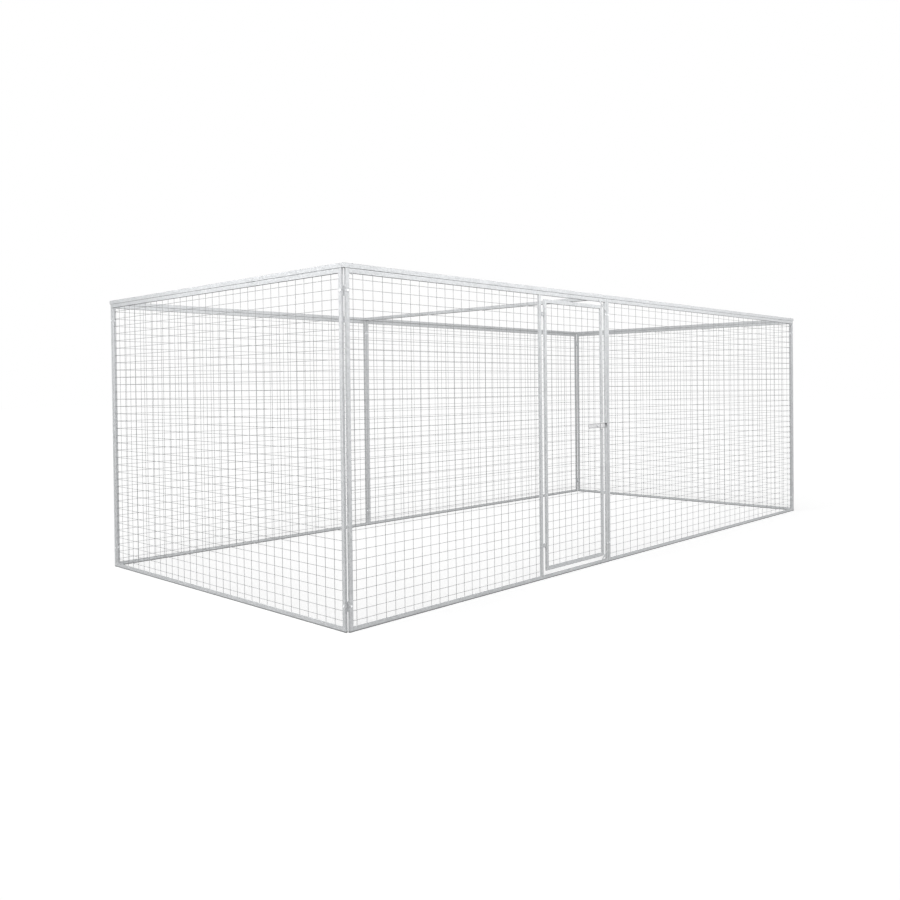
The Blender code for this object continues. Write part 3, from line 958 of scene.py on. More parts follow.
@dataclass
class Welds:
    """Weld beads laid along lines, gathered for each body and made in one go."""

    bead_radius: float = 0.0011
    spacing: float = 0.0013
    seed: int = 11
    lines: dict[str, list[Seam]] = field(default_factory=dict)

    def add(self, body: str, place: Matrix, *seams: Line) -> None:
        """Notes lines to weld.

        Args:
            body: The body that the beads ride on.
            place: What takes the lines' coordinates to the enclosure's.
            seams: Each line's two ends.
        """
        for start, end in seams:
            self.lines.setdefault(body, []).append((place @ Vector(start), place @ Vector(end)))

    def tree(self) -> GeometryGraph:
        """Builds the tree: flattened blobs in a row along each edge.

        Returns:
            The tree.
        """
        graph = GeometryGraph("weld_beads")
        spacing, radius = graph.named(Kind.LENGTH, "Spacing", "Bead Radius")
        lines = graph.value("GeometryNodeMeshToCurve", None, {"Mesh": graph.source()})
        spots = graph.value("GeometryNodeResampleCurve", {"mode": "LENGTH"}, {
            "Curve": lines, "Length": spacing})
        blob = graph.value("GeometryNodeMeshUVSphere", None, {"Segments": 8, "Rings": 5, "Radius": radius})
        size = graph.random((0.75, 0.75, 0.6), (1.25, 1.25, 1.05), graph.seed)
        turn = graph.random((-0.5, -0.5, -3.0), (0.5, 0.5, 3.0), graph.seed + 1)
        return graph.finish(graph.instances(spots, blob, Rotation=turn, Scale=size))

    def build(self, finish: bpy.types.Material) -> None:
        """Makes one piece of beads for each body.

        Args:
            finish: The weld metal.
        """
        tree = self.tree()
        for body, seams in self.lines.items():
            source = bpy.data.meshes.new("weld_lines")
            source.from_pydata([point for seam in seams for point in seam],
                               [(2 * i, 2 * i + 1) for i in range(len(seams))], [])
            mesh = tree.realise(self, finish, source)
            hand_over(placed(body + "_weld_beads", mesh), body, Slot.TUBE)


class Piece:
    """A piece made of shells, with the wall that it belongs to and the body that it rides on."""

    side = Side.FRONT
    body = "cage"

    @property
    def place(self) -> Matrix:
        """What takes the piece's coordinates to the enclosure's."""
        return self.side.matrix

    def shape(self) -> Shaper:
        """The piece's shells."""
        raise NotImplementedError

    def seams(self) -> list[Line]:
        """The piece's weld lines, none unless it says so."""
        return []

    def build(self, name: str, finish: bpy.types.Material, slot: Slot, welds: Welds, *nodes: str) -> None:
        """Makes the piece, hands it over and notes its welds.

        Args:
            name: Its name.
            finish: Its material.
            slot: The record's material slot.
            welds: Where weld lines are noted.
            nodes: The solids that it stands for.
        """
        hand_over(self.shape().finish(name, finish, self.place), self.body, slot, *nodes)
        welds.add(self.body, self.place, *self.seams())


# Welded frames

@dataclass
class TubeFrame(Piece):
    """A welded frame of rectangular tube, with any spaces for the latch bar in its right stile."""

    node: str
    left: float
    right: float
    bottom: float = 0.0
    top: float = SIZE.panel_height
    side: Side = Side.FRONT
    body: str = "cage"
    posts: tuple[float, ...] = ()
    spaces: tuple[Box, ...] = ()
    bite: float = 0.0009

    def uprights(self) -> list[Box]:
        """The right stile, the left stile and any posts between the rails.

        Returns:
            Their boxes, in that order.
        """
        inside = SIZE.face - self.bite
        runs = [(x, self.bottom, self.top) for x in (self.right - SIZE.face, self.left)]
        runs += [(x, self.bottom + inside, self.top - inside) for x in self.posts]
        return [((x, 0.0, low), (x + SIZE.face, SIZE.depth, high)) for x, low, high in runs]

    def rails(self) -> list[Box]:
        """The lower and upper rails, which bite a little into the stiles' walls."""
        inside = SIZE.face - self.bite
        return [((self.left + inside, 0.0, z), (self.right - inside, SIZE.depth, z + SIZE.face))
                for z in (self.bottom, self.top - SIZE.face)]

    def seams(self) -> list[Line]:
        """The weld lines at each joint.

        Returns:
            Lines outside, inside and in the window's corner.
        """
        lines: list[Line] = []
        faces, front, back = (WELD_SINK, SIZE.depth - WELD_SINK), WELD_CLEAR, SIZE.depth - WELD_CLEAR
        low, high = self.bottom + SIZE.face, self.top - SIZE.face
        for x, aside in ((self.left + SIZE.face, WELD_PROUD), (self.right - SIZE.face, -WELD_PROUD)):
            for z0, z1, corner in ((self.bottom, low, low), (high, self.top, high)):
                lines += [((x, y, z0 + WELD_CLEAR), (x, y, z1 - WELD_CLEAR)) for y in faces]
                lines.append(((x + aside, front, corner), (x + aside, back, corner)))
        for x in self.posts:
            for z in (low, high):
                lines += [((x + WELD_CLEAR, y, z), (x + SIZE.face - WELD_CLEAR, y, z)) for y in faces]
                lines += [((edge, front, z), (edge, back, z)) for edge in (x, x + SIZE.face)]
        return lines

    def shape(self) -> Shaper:
        """The frame's tubes.

        Returns:
            The right stile, cut before the other tubes join it, and then these.
        """
        shaper = Shaper()
        stile, *others = self.uprights()
        shaper.tube(stile, Run.UP)
        if self.spaces:
            shaper.carve(*self.spaces)
        for box in others:
            shaper.tube(box, Run.UP)
        for box in self.rails():
            shaper.tube(box, Run.ALONG)
        return shaper


@dataclass
class DoorFrame(TubeFrame):
    """The front left frame, with the two stop bars across its latch-side corners."""

    bar_width: float = 0.012
    bar_thickness: float = 0.003
    bar_corner: float = 0.0008
    bar_weld_from_edge: float = 0.001
    sideways: float = 0.085
    upwards: float = 0.058

    def stop_runs(self) -> list[Seam]:
        """Each stop bar's two ends on the frame's front face."""
        corner, half = SIZE.latch_face + SIZE.face / 2, SIZE.face / 2
        return [(Vector((corner - self.sideways, 0, level - way * half)),
                 Vector((corner, 0, level + way * self.upwards)))
                for level, way in ((SIZE.face, 1), (SIZE.panel_height - SIZE.face, -1))]

    def shape(self) -> Shaper:
        """The frame's tubes and its stop bars.

        Returns:
            All of them.
        """
        shaper = super().shape()
        section = rounded_rectangle(self.bar_thickness, self.bar_width, self.bar_corner)
        across = Vector((0, -1, 0))
        for start, end in self.stop_runs():
            middle = (start + end) / 2 + across * (SIZE.fit + self.bar_thickness / 2)
            along, reach = (end - start).normalized(), (end - start).length / 2
            turn = Matrix((across, along.cross(across), along)).transposed().to_4x4()
            shaper.prism(section, -reach, reach, Matrix.Translation(middle) @ turn)
        return shaper

    def seams(self) -> list[Line]:
        """The frame's weld lines and those across the ends of the stop bars.

        Returns:
            All of them.
        """
        lines = super().seams()
        for start, end in self.stop_runs():
            along = (end - start).normalized()
            across = Vector((-along.z, 0, along.x)) * (self.bar_width / 2 - self.bar_weld_from_edge)
            proud = Vector((0, -WELD_PROUD, 0))
            lines += [(tuple(at - across + proud), tuple(at + across + proud)) for at in (start, end)]
        return lines


@dataclass
class DoorLeaf(TubeFrame):
    """The leaf's frame with its two hinge barrels."""

    barrel_radius: float = 0.0075
    bore_radius: float = 0.0043
    barrel_height: float = 0.024
    barrel_rim: float = 0.0005
    barrel_sides: int = 28
    web: float = 0.006
    web_corner: float = 0.0004
    web_bite: float = 0.0008
    weld_from_end: float = 0.0015
    weld_off_leaf: float = 0.0003
    weld_in_barrel: float = 0.0006

    def shape(self) -> Shaper:
        """The leaf's tubes, barrels and the webs that carry these.

        Returns:
            All of them.
        """
        shaper = super().shape()
        outer, bore, tall, rim = self.barrel_radius, self.bore_radius, self.barrel_height, self.barrel_rim
        profile = [(outer, rim), (outer, tall - rim), (outer - rim, tall), (bore + rim / 2, tall),
                   (bore, tall - rim / 2), (bore, rim / 2), (bore + rim / 2, 0.0), (outer - rim, 0.0)]
        start, end = SIZE.hinge_x + outer - self.web_bite, SIZE.leaf_left + self.bite
        outline = rounded_rectangle(end - start, self.web, self.web_corner)
        for level in SIZE.hinge_levels:
            barrel, web = (Matrix.Translation((x, SIZE.middle, level))
                           for x in (SIZE.hinge_x, (start + end) / 2))
            shaper.turned(profile, barrel, self.barrel_sides, closed=True)
            shaper.prism(outline, 0.0, tall, web)
        return shaper

    def seams(self) -> list[Line]:
        """The leaf's weld lines and those up both sides of each hinge web."""
        ends = (SIZE.leaf_left - self.weld_off_leaf, SIZE.hinge_x + self.barrel_radius - self.weld_in_barrel)
        return super().seams() + [
            ((x, y, level + self.weld_from_end), (x, y, level + self.barrel_height - self.weld_from_end))
            for level in SIZE.hinge_levels for x in ends
            for y in (SIZE.middle - self.web / 2, SIZE.middle + self.web / 2)]


@dataclass
class RoofFrame(Piece):
    """An open frame of tube that lies on the walls' top rails, its long tubes' ends closed by plates."""

    node: str
    left: float
    right: float
    bite: float = 0.0009
    wall: float = 0.0015
    plate: float = 0.0012
    plate_corner: float = 0.0006
    plate_sink: float = 0.0001

    def shape(self) -> Shaper:
        """The frame's tubes, with small flush plates in the long tubes' four ends.

        Returns:
            All of them.
        """
        shaper = Shaper()
        low, high = SIZE.roof_base, SIZE.roof_base + SIZE.face
        for y in (0.0, SIZE.width - SIZE.depth):
            shaper.tube(((self.left, y, low), (self.right, y + SIZE.depth, high)), Run.ALONG, self.wall)
        inner_face, inner_depth = (size - 2 * self.wall + INNER_EASE for size in (SIZE.face, SIZE.depth))
        outline = rounded_rectangle(inner_face, inner_depth, self.plate_corner)
        turn = Matrix.Rotation(math.pi / 2, 4, "Y")
        for x in (self.left + self.plate_sink, self.right - self.plate - self.plate_sink):
            for y in (SIZE.middle, SIZE.width - SIZE.middle):
                at = Matrix.Translation((x, y, SIZE.roof_base + SIZE.face / 2)) @ turn
                shaper.prism(outline, 0.0, self.plate, at, self.plate_sink)
        inside = SIZE.depth - self.bite
        for x in (self.left, self.right - SIZE.depth):
            shaper.tube(((x, inside, low), (x + SIZE.depth, SIZE.width - inside, high)), Run.INWARDS)
        return shaper

    def seams(self) -> list[Line]:
        """The weld lines where the short tubes meet the long ones.

        Returns:
            Lines below, above and in the corner at each joint.
        """
        lines: list[Line] = []
        low, high = SIZE.roof_base, SIZE.roof_base + SIZE.face
        last = self.right - SIZE.depth
        for x, edge in ((self.left, self.left + SIZE.depth), (last, last)):
            for y in (SIZE.depth, SIZE.width - SIZE.depth):
                lines += [((x + WELD_CLEAR, y, z), (x + SIZE.depth - WELD_CLEAR, y, z))
                          for z in (low + WELD_SINK, high - WELD_SINK)]
                lines.append(((edge, y, low + WELD_CLEAR), (edge, y, high - WELD_CLEAR)))
        return lines


# Wire mesh

@dataclass
class MeshSheet:
    """A sheet of welded wire mesh on the inner faces of the tubes round a window."""

    node: str
    left: float
    right: float
    upright_wires: int
    side: Side = Side.FRONT
    bottom: float = SIZE.face
    top: float = SIZE.panel_height - SIZE.face
    level_wires: int = 35
    spare_gaps: int = 1
    body: str = "cage"
    wire_radius: float = 0.00125
    lap: float = 0.0058
    sink: float = 0.0004
    bow: float = 0.0016
    sides: int = 8
    seed: int = 0

    def build(self, tree: GeometryGraph, finish: bpy.types.Material) -> None:
        """Makes the sheet's piece.

        Args:
            tree: The mesh tree.
            finish: The wires' material.
        """
        mesh = tree.realise(self, finish)
        centre = ((self.left + self.right) / 2, SIZE.depth, (self.bottom + self.top) / 2)
        mesh.transform(self.side.matrix @ Matrix.Translation(centre))
        hand_over(placed(self.node + "_wires", mesh), self.body, Slot.WIRE, self.node)


CROSSING_NUGGET, UPRIGHT_END_NUGGET, LEVEL_END_NUGGET = 1.1, 1.25, 1.5
UPRIGHT_END_DEPTH, LEVEL_END_DEPTH = 0.6, 1.3
WAVES_A_METRE, SEED_STEP = 3.4, 3.7


def mesh_tree() -> GeometryGraph:
    """Builds the tree of a welded mesh sheet.

    Returns:
        A tree that makes upright wires against the tubes, level wires across them, a weld nugget at
        each crossing and each end, and a slight bow of the whole sheet.
    """
    graph = GeometryGraph("welded_mesh")
    left, right, bottom, top, radius, lap, sink, bow = graph.named(
        Kind.LENGTH, "Left", "Right", "Bottom", "Top", "Wire Radius", "Lap", "Sink", "Bow")
    columns, rows, spare, sides = graph.named(
        Kind.COUNT, "Upright Wires", "Level Wires", "Spare Gaps", "Sides")
    width, height = right - left, top - bottom
    pitch_x, pitch_z = width / (columns + spare), height / rows
    spread_x, spread_z = pitch_x * (columns - 1), pitch_z * (rows - 1)
    near, far = radius, 3 * radius - sink
    place = graph.value("GeometryNodeInputPosition")
    x, z = graph.axis(place, "X") / width, graph.axis(place, "Z") / height
    fade = graph.math("MAXIMUM", 0.0, 1 - 4 * x * x) * graph.math("MAXIMUM", 0.0, 1 - 4 * z * z)
    wave = graph.value("ShaderNodeTexNoise", {"noise_dimensions": "4D"}, {
        "Vector": place, "W": graph.seed * SEED_STEP, "Scale": WAVES_A_METRE, "Detail": 1.0}, "Color")
    bend = graph.scaled(graph.vector_math("SUBTRACT", wave, (0.5, 0.5, 0.5)), bow * fade)

    def bent(shape: Value) -> Value:
        """A geometry with the sheet's bow."""
        return graph.value("GeometryNodeSetPosition", None, {"Geometry": shape, "Offset": bend})

    def wires(count: Value, start: Value, step: Value, reach: Value) -> Value:
        """A row of wires.

        Args:
            count: How many.
            start: The middle of the first.
            step: From one to the next.
            reach: From a wire's middle to its end.

        Returns:
            Their surface.
        """
        line = graph.value("GeometryNodeCurvePrimitiveLine", {"mode": "POINTS"}, {
            "Start": graph.scaled(reach, -1.0), "End": reach})
        points = graph.value("GeometryNodeResampleCurve", {"mode": "COUNT"}, {"Curve": line, "Count": 9})
        row = graph.value("GeometryNodeMeshLine", {"mode": "OFFSET"}, {
            "Count": count, "Start Location": start, "Offset": step})
        return graph.swept(bent(graph.plain(graph.instances(row, points))), sides, radius)

    def nuggets(wide: Value, tall: Value, across: Feed, down: Feed, depth: Value, size: float) -> Value:
        """Weld nuggets on a grid.

        Args:
            wide: The grid's width.
            tall: The grid's height.
            across: Nuggets in a row.
            down: Nuggets in a column.
            depth: How far in they lie.
            size: Their radius in wire radii.

        Returns:
            Their instances.
        """
        grid = graph.value("GeometryNodeMeshGrid", None, {
            "Size X": wide, "Size Y": tall, "Vertices X": across, "Vertices Y": down})
        stood = graph.moved(grid, graph.vector(0.0, depth, 0.0), (math.pi / 2, 0.0, 0.0))
        lump = graph.value("GeometryNodeMeshIcoSphere", None, {"Radius": radius * size, "Subdivisions": 1})
        return graph.instances(
            bent(stood), lump, Scale=graph.random((0.85, 0.85, 0.85), (1.2, 1.1, 1.2), graph.seed),
            Rotation=graph.random((-3.0, -3.0, -3.0), (3.0, 3.0, 3.0), graph.seed + 5))

    return graph.finish(graph.join(
        wires(columns, graph.vector(spread_x * -0.5, near, 0.0), graph.vector(pitch_x),
              graph.vector(0.0, 0.0, height * 0.5 + lap)),
        wires(rows, graph.vector(0.0, far, spread_z * -0.5), graph.vector(0.0, 0.0, pitch_z),
              graph.vector(width * 0.5 + lap)),
        nuggets(spread_x, spread_z, columns, rows, (near + far) * 0.5, CROSSING_NUGGET),
        nuggets(spread_x, height + lap, columns, 2, near * UPRIGHT_END_DEPTH, UPRIGHT_END_NUGGET),
        nuggets(width + lap, spread_z, 2, rows, near * LEVEL_END_DEPTH, LEVEL_END_NUGGET)))


# Fasteners

@dataclass
class Fasteners:
    """All domed bolts with their washers, nuts and threaded tails, as one piece."""

    head_radius: float = 0.0065
    head_height: float = 0.003
    head_rise: float = 0.0003
    shank_radius: float = 0.0025
    washer_radius: float = 0.0052
    washer_thickness: float = 0.0007
    nut_flats: float = 0.008
    nut_height: float = 0.0043
    tail: float = 0.0015
    thread_pitch: float = 0.0008
    seed: int = 5
    plate: float = 0.0025

    def places(self) -> list[tuple[Vector, Vector, float]]:
        """Where the bolts are.

        Returns:
            For each bolt the point under its head, the way that its head faces, and its grip.
        """
        half, grip = SIZE.face / 2, SIZE.depth + SIZE.fit + self.plate
        found = []
        for side in Side:
            out = side.matrix.to_3x3() @ Vector((0, -1, 0))
            found += [(side.matrix @ Vector((x, 0, z)), out, grip) for left, right in side.spans
                      for x in (left + half, right - half) for z in SIZE.bolt_levels]
        top, end = SIZE.roof_base + SIZE.face, SIZE.roof_bolt_from_end
        found += [(Side.FRONT.matrix @ Vector((x, y, top)), Vector((0, 0, 1)),
                   top - SIZE.panel_height + SIZE.face)
                  for x in (end, SIZE.length - end) for y in (SIZE.middle, SIZE.width - SIZE.middle)]
        return found

    def tree(self) -> GeometryGraph:
        """Builds the tree: a bolt at each point, turned by the "outward" vector and set by "grip".

        Returns:
            The tree.
        """
        graph = GeometryGraph("domed_bolts")
        head, dome, rise, shank, washer, thick, flats, nut, tail, pitch = graph.named(
            Kind.LENGTH, "Head Radius", "Head Height", "Head Rise", "Shank Radius", "Washer Radius",
            "Washer Thickness", "Nut Flats", "Nut Height", "Tail", "Thread Pitch")
        ball = graph.value("GeometryNodeMeshUVSphere", None, {"Segments": 24, "Rings": 14, "Radius": 1.0})
        x, y, z = (graph.axis(graph.value("GeometryNodeInputPosition"), name) for name in "XYZ")
        # The "rim" attribute marks where the bolt finish paints shade round each head's lower edge.
        marked = graph.value("GeometryNodeStoreNamedAttribute", {"data_type": "FLOAT", "domain": "POINT"}, {
            "Geometry": ball, "Name": "rim", "Value": graph.value(
                "ShaderNodeMapRange", None, {"Value": z, "From Min": 0.5, "From Max": 0.3})})
        domed = graph.value("GeometryNodeSetPosition", None, {
            "Geometry": marked,
            "Position": graph.vector(x * head, y * head, graph.math("MAXIMUM", z, 0.0) * dome + rise)})
        corner, body = flats * (0.5 / math.cos(math.pi / 6)), nut - thick
        helix = graph.value("GeometryNodeCurveSpiral", None, {
            "Resolution": 12, "Rotations": tail / pitch, "Start Radius": shank, "End Radius": shank * 0.86,
            "Height": tail * 0.8})
        thread = graph.moved(graph.swept(helix, 5, pitch * 0.3),
                             graph.vector(0.0, 0.0, 0 - nut - tail * 0.1), (math.pi, 0.0, 0.0))
        top = graph.join(domed, graph.stub(24, head, head * 0.96, rise, 0.0))
        stem = graph.stub(12, shank, shank, 1.0, -1.0)
        under = graph.join(
            graph.stub(24, washer, washer, thick, 0 - thick),
            graph.stub(6, corner, corner, body * 0.84, 0 - thick - body * 0.84),
            graph.stub(6, corner, corner * 0.87, body * 0.16, 0 - thick - body),
            graph.stub(16, shank, shank * 0.8, tail, 0 - nut - tail),
            thread)
        outward, grip = (graph.value("GeometryNodeInputNamedAttribute", {"data_type": kind}, {"Name": name})
                         for name, kind in (("outward", "FLOAT_VECTOR"), ("grip", "FLOAT")))
        facing = graph.value("FunctionNodeAlignRotationToVector", {"axis": "Z"}, {"Vector": outward})
        spin = graph.value("FunctionNodeRandomValue", {"data_type": "FLOAT"}, {
            "Min": -math.pi, "Max": math.pi, "Seed": graph.seed})
        turned = graph.value("FunctionNodeRotateRotation", {"rotation_space": "LOCAL"}, {
            "Rotation": facing, "Rotate By": graph.vector(0.0, 0.0, spin)})
        inner = graph.value("GeometryNodeSetPosition", None, {
            "Geometry": graph.source(), "Offset": graph.scaled(outward, grip * -1.0)})
        return graph.finish(graph.join(
            graph.instances(graph.source(), top, Rotation=facing),
            graph.instances(graph.source(), stem, Rotation=facing, Scale=graph.vector(1.0, 1.0, grip + nut)),
            graph.instances(inner, under, Rotation=turned)))

    def build(self, finish: bpy.types.Material) -> None:
        """Makes the piece.

        Args:
            finish: The bolts' material.
        """
        points, outwards, grips = zip(*self.places())
        source = bpy.data.meshes.new("bolt_places")
        source.from_pydata(points, [], [])
        source.attributes.new("outward", "FLOAT_VECTOR", "POINT").data.foreach_set(
            "vector", [value for outward in outwards for value in outward])
        source.attributes.new("grip", "FLOAT", "POINT").data.foreach_set("value", grips)
        mesh = self.tree().realise(self, finish, source)
        smooth_between_edges(mesh)
        hand_over(placed("domed_bolts_and_nuts", mesh), "cage", Slot.BOLT, *solids("_bolt"))


@dataclass
class JoiningPlates(Piece):
    """The bent angles inside the corners and the flat straps behind the middle joints."""

    thickness: float = 0.0025
    height: float = 0.050
    edge: float = 0.0055
    bend: float = 0.0034
    fold: float = 0.0010
    end: float = 0.0006
    strap_corner: float = 0.004
    place = Matrix()

    def shape(self) -> Shaper:
        """The angles and straps, in the enclosure's own coordinates.

        Returns:
            All of them.
        """
        shaper = Shaper()
        half, near, end = self.height / 2, SIZE.depth + SIZE.fit, self.end
        inner, far = near + self.thickness, SIZE.stile_start + SIZE.face / 2 + self.edge
        angle = rounded([(near, near, self.bend), (far, near, end), (far, inner, end),
                         (inner, inner, self.fold), (inner, far, end), (near, far, end)], 5)
        strap = rounded_rectangle(SIZE.face + SIZE.fit + 2 * self.edge, self.height, self.strap_corner, 5)
        for side in Side:
            for level in SIZE.bolt_levels:
                shaper.prism(angle, level - half, level + half, side.matrix)
                if side.joint is not None:
                    at = side.matrix @ Matrix.Translation((side.joint, 0, level)) @ OUTWARDS
                    shaper.prism(strap, -inner, -near, at)
        return shaper


# Door furniture

@dataclass
class HingeLugs(Piece):
    """The lugs on the post and their upright pins."""

    height: float = 0.006
    width: float = 0.010
    corner: float = 0.0004
    pin_radius: float = 0.004
    pin_top: float = 0.027
    pin_foot: float = 0.0062
    pin_chamfer: float = 0.0007
    pin_nose: tuple[tuple[float, float], ...] = ((1.0, 0.0016), (0.92, 0.0008), (0.72, 0.0002), (0.4, 0.0))
    weld_from_edge: float = 0.001
    weld_below_top: float = 0.0004

    def shape(self) -> Shaper:
        """The lugs and pins.

        Returns:
            All of them.
        """
        shaper = Shaper()
        half, end, radius, top = self.width / 2, self.corner, self.pin_radius, self.pin_top
        start, nose = SIZE.post_right + SIZE.fit - SIZE.hinge_x, half - INNER_EASE
        outline = rounded([(start, -half, end), (half, -half, nose), (half, half, nose),
                           (start, half, end)], 6)
        profile = [(radius * 0.8, -self.pin_foot), (radius, self.pin_chamfer - self.pin_foot)]
        profile += [(radius * share, top - drop) for share, drop in self.pin_nose]
        for level in SIZE.hinge_levels:
            at = Matrix.Translation((SIZE.hinge_x, SIZE.middle, level))
            shaper.prism(outline, -SIZE.fit - self.height, -SIZE.fit, at)
            shaper.turned(profile, at)
        return shaper

    def seams(self) -> list[Line]:
        """A weld line along each lug's upper and lower edge, where it meets the post."""
        x, reach = SIZE.post_right, self.width / 2 - self.weld_from_edge
        edges = (-SIZE.fit - self.weld_below_top, WELD_PROUD - SIZE.fit - self.height)
        return [((x, SIZE.middle - reach, level + z), (x, SIZE.middle + reach, level + z))
                for level in SIZE.hinge_levels for z in edges]


@dataclass
class LatchGuide(Piece):
    """The bent channel over the leaf's latch stile, with a space through both flanges for the bar."""

    space: Box
    height: float = 0.046
    thickness: float = 0.002
    bend: float = 0.0026
    fold: float = 0.0007
    end: float = 0.0005
    weld_from_edge: float = 0.002
    weld_inwards: float = 0.6
    body: str = "door"

    @property
    def ends(self) -> tuple[float, float, float, float]:
        """The channel's left and right, and its low and high."""
        out, half = SIZE.fit + self.thickness, self.height / 2
        return (SIZE.leaf_right - SIZE.face - out, SIZE.leaf_right + out,
                SIZE.latch_height - half, SIZE.latch_height + half)

    def shape(self) -> Shaper:
        """The channel.

        Returns:
            Its one shell.
        """
        left, right, low, high = self.ends
        front, back, thick = -SIZE.fit - self.thickness, SIZE.depth, self.thickness
        bend, fold, end = self.bend, self.fold, self.end
        outline = rounded([
            (left, front, bend), (right, front, bend), (right, back, end), (right - thick, back, end),
            (right - thick, front + thick, fold), (left + thick, front + thick, fold),
            (left + thick, back, end), (left, back, end)], 4)
        shaper = Shaper()
        shaper.prism(outline, low, high, Matrix())
        shaper.carve(self.space)
        return shaper

    def seams(self) -> list[Line]:
        """The weld lines at the flanges' upper and lower ends."""
        left, right, low, high = self.ends
        inwards, edge = self.thickness * self.weld_inwards, self.weld_from_edge
        return [((x, edge, z), (x, SIZE.depth - edge, z))
                for x in (left + inwards, right - inwards) for z in (low, high)]


@dataclass
class LatchBar(Piece):
    """The sliding flat bar with its finger hole and riveted knob."""

    length: float = 0.187
    height: float = 0.030
    thickness: float = 0.003
    corner: float = 0.004
    soft: float = 0.00035
    tip_gap: float = 0.003
    clearance: float = 0.0008
    keeper_length: float = 0.020
    hole_radius: float = 0.0055
    hole_from_end: float = 0.046
    knob_from_end: float = 0.098
    knob: tuple[tuple[float, float], ...] = (
        (0.0031, -0.0023), (0.0037, -0.0018), (0.0040, -0.0015), (0.0049, 0.0015), (0.0049, 0.0030),
        (0.0042, 0.0044), (0.0050, 0.0058), (0.0066, 0.0066), (0.0070, 0.0073), (0.0067, 0.0082),
        (0.0054, 0.0089), (0.0034, 0.0092), (0.0014, 0.0093))
    body: str = "latch"

    def space(self, left: float, right: float, open_front: bool = False) -> Box:
        """The space that the bar needs between two places along the wall.

        Args:
            left: Where the space starts.
            right: Where it ends.
            open_front: Whether it is open to the front.

        Returns:
            The space's lowest and highest corners.
        """
        deep, tall = self.thickness / 2 + self.clearance, self.height / 2 + self.clearance
        front = -CUT_PAST if open_front else SIZE.middle - deep
        return ((left, front, SIZE.latch_height - tall),
                (right, SIZE.middle + deep, SIZE.latch_height + tall))

    def shape(self) -> Shaper:
        """The bar with its hole and its knob.

        Returns:
            Both shells.
        """
        tail, half = SIZE.latch_face - self.tip_gap - self.length, self.thickness / 2
        middle, hole_at, knob_at = (
            Matrix.Translation((tail + along, SIZE.middle, SIZE.latch_height)) @ OUTWARDS
            for along in (self.length / 2, self.hole_from_end, self.knob_from_end))
        shaper, hole = Shaper(), Shaper()
        outline = rounded_rectangle(self.length, self.height, self.corner, 6)
        shaper.prism(outline, -half, half, middle, self.soft)
        hole.turned([(self.hole_radius, -2 * half), (self.hole_radius, 2 * half)], hole_at, 32)
        shaper.cut(hole)
        shaper.turned(self.knob, knob_at, 28)
        return shaper


# The whole enclosure

@dataclass
class Enclosure:
    """The cage, its door and its latch."""

    finishes: Finishes
    welds: Welds = field(default_factory=Welds)
    latch: LatchBar = field(default_factory=LatchBar)
    guide_space: tuple[float, float] = (0.030, 0.005)
    plain_bays: tuple[tuple[str, Side, int, int], ...] = (
        ("left_side", Side.LEFT, 0, 32), ("right_side", Side.RIGHT, 0, 32), ("rear_right", Side.REAR, 0, 33),
        ("rear_left", Side.REAR, 1, 33), ("front_right", Side.FRONT, 1, 33))

    def frames(self) -> list[TubeFrame | RoofFrame]:
        """The welded frames.

        Returns:
            Those of the walls, the door leaf's and the roof's.
        """
        face, latch = SIZE.latch_face, self.latch
        slot = latch.space(SIZE.leaf_right - SIZE.face - CUT_PAST, SIZE.leaf_right + CUT_PAST)
        notch = latch.space(face - CUT_PAST, face + latch.keeper_length, open_front=True)
        return [
            *(TubeFrame(name + "_frame", *side.spans[bay], side=side)
              for name, side, bay, _ in self.plain_bays),
            DoorFrame("front_door_frame", *Side.FRONT.spans[0], posts=(SIZE.post_right - SIZE.face,),
                      spaces=(notch,)),
            DoorLeaf("door_leaf_frame", SIZE.leaf_left, SIZE.leaf_right, SIZE.leaf_bottom, SIZE.leaf_top,
                     body="door", spaces=(slot,)),
            RoofFrame("roof_frame_left", 0.0, SIZE.left_bay - SIZE.fit / 2),
            RoofFrame("roof_frame_right", SIZE.left_bay + SIZE.fit / 2, SIZE.length),
        ]

    def sheets(self) -> list[MeshSheet]:
        """The seven sheets of wire mesh, with the photographed number of wires.

        Returns:
            The sheets, each with a seed that follows from its place in the list.
        """
        face = SIZE.face
        sheets = [MeshSheet(name + "_net", side.spans[bay][0] + face, side.spans[bay][1] - face, wires, side)
                  for name, side, bay, wires in self.plain_bays]
        sheets.insert(4, MeshSheet("front_left_net", SIZE.stile_start + face, SIZE.post_right - face, 23,
                                   spare_gaps=0))
        sheets.append(MeshSheet("door_net", SIZE.leaf_left + face, SIZE.leaf_right - face, 8,
                                bottom=SIZE.leaf_bottom + face, top=SIZE.leaf_top - face, level_wires=33,
                                body="door"))
        for number, sheet in enumerate(sheets):
            sheet.seed = number + 1
        return sheets

    def build(self) -> None:
        """Makes every piece."""
        finishes, welds = self.finishes, self.welds
        for tubes in self.frames():
            tubes.build(tubes.node + "_tubes", finishes.tube, Slot.TUBE, welds, tubes.node)
        tree = mesh_tree()
        for sheet in self.sheets():
            sheet.build(tree, finishes.wire)
        JoiningPlates().build("joining_plates", finishes.tube, Slot.TUBE, welds, *solids("_angle", "_strap"))
        Fasteners().build(finishes.bolt)
        HingeLugs().build("hinge_lugs_and_pins", finishes.bolt, Slot.BOLT, welds, "lower_hinge_pin",
                          "upper_hinge_pin")
        before, past = self.guide_space
        guide = LatchGuide(self.latch.space(SIZE.leaf_right - before, SIZE.leaf_right + past))
        guide.build("latch_guide_channel", finishes.latch, Slot.LATCH, welds, "latch_guide")
        self.latch.build("latch_bar_and_knob", finishes.latch, Slot.LATCH, welds, "latch_bar")
        welds.build(finishes.weld)


# Studio

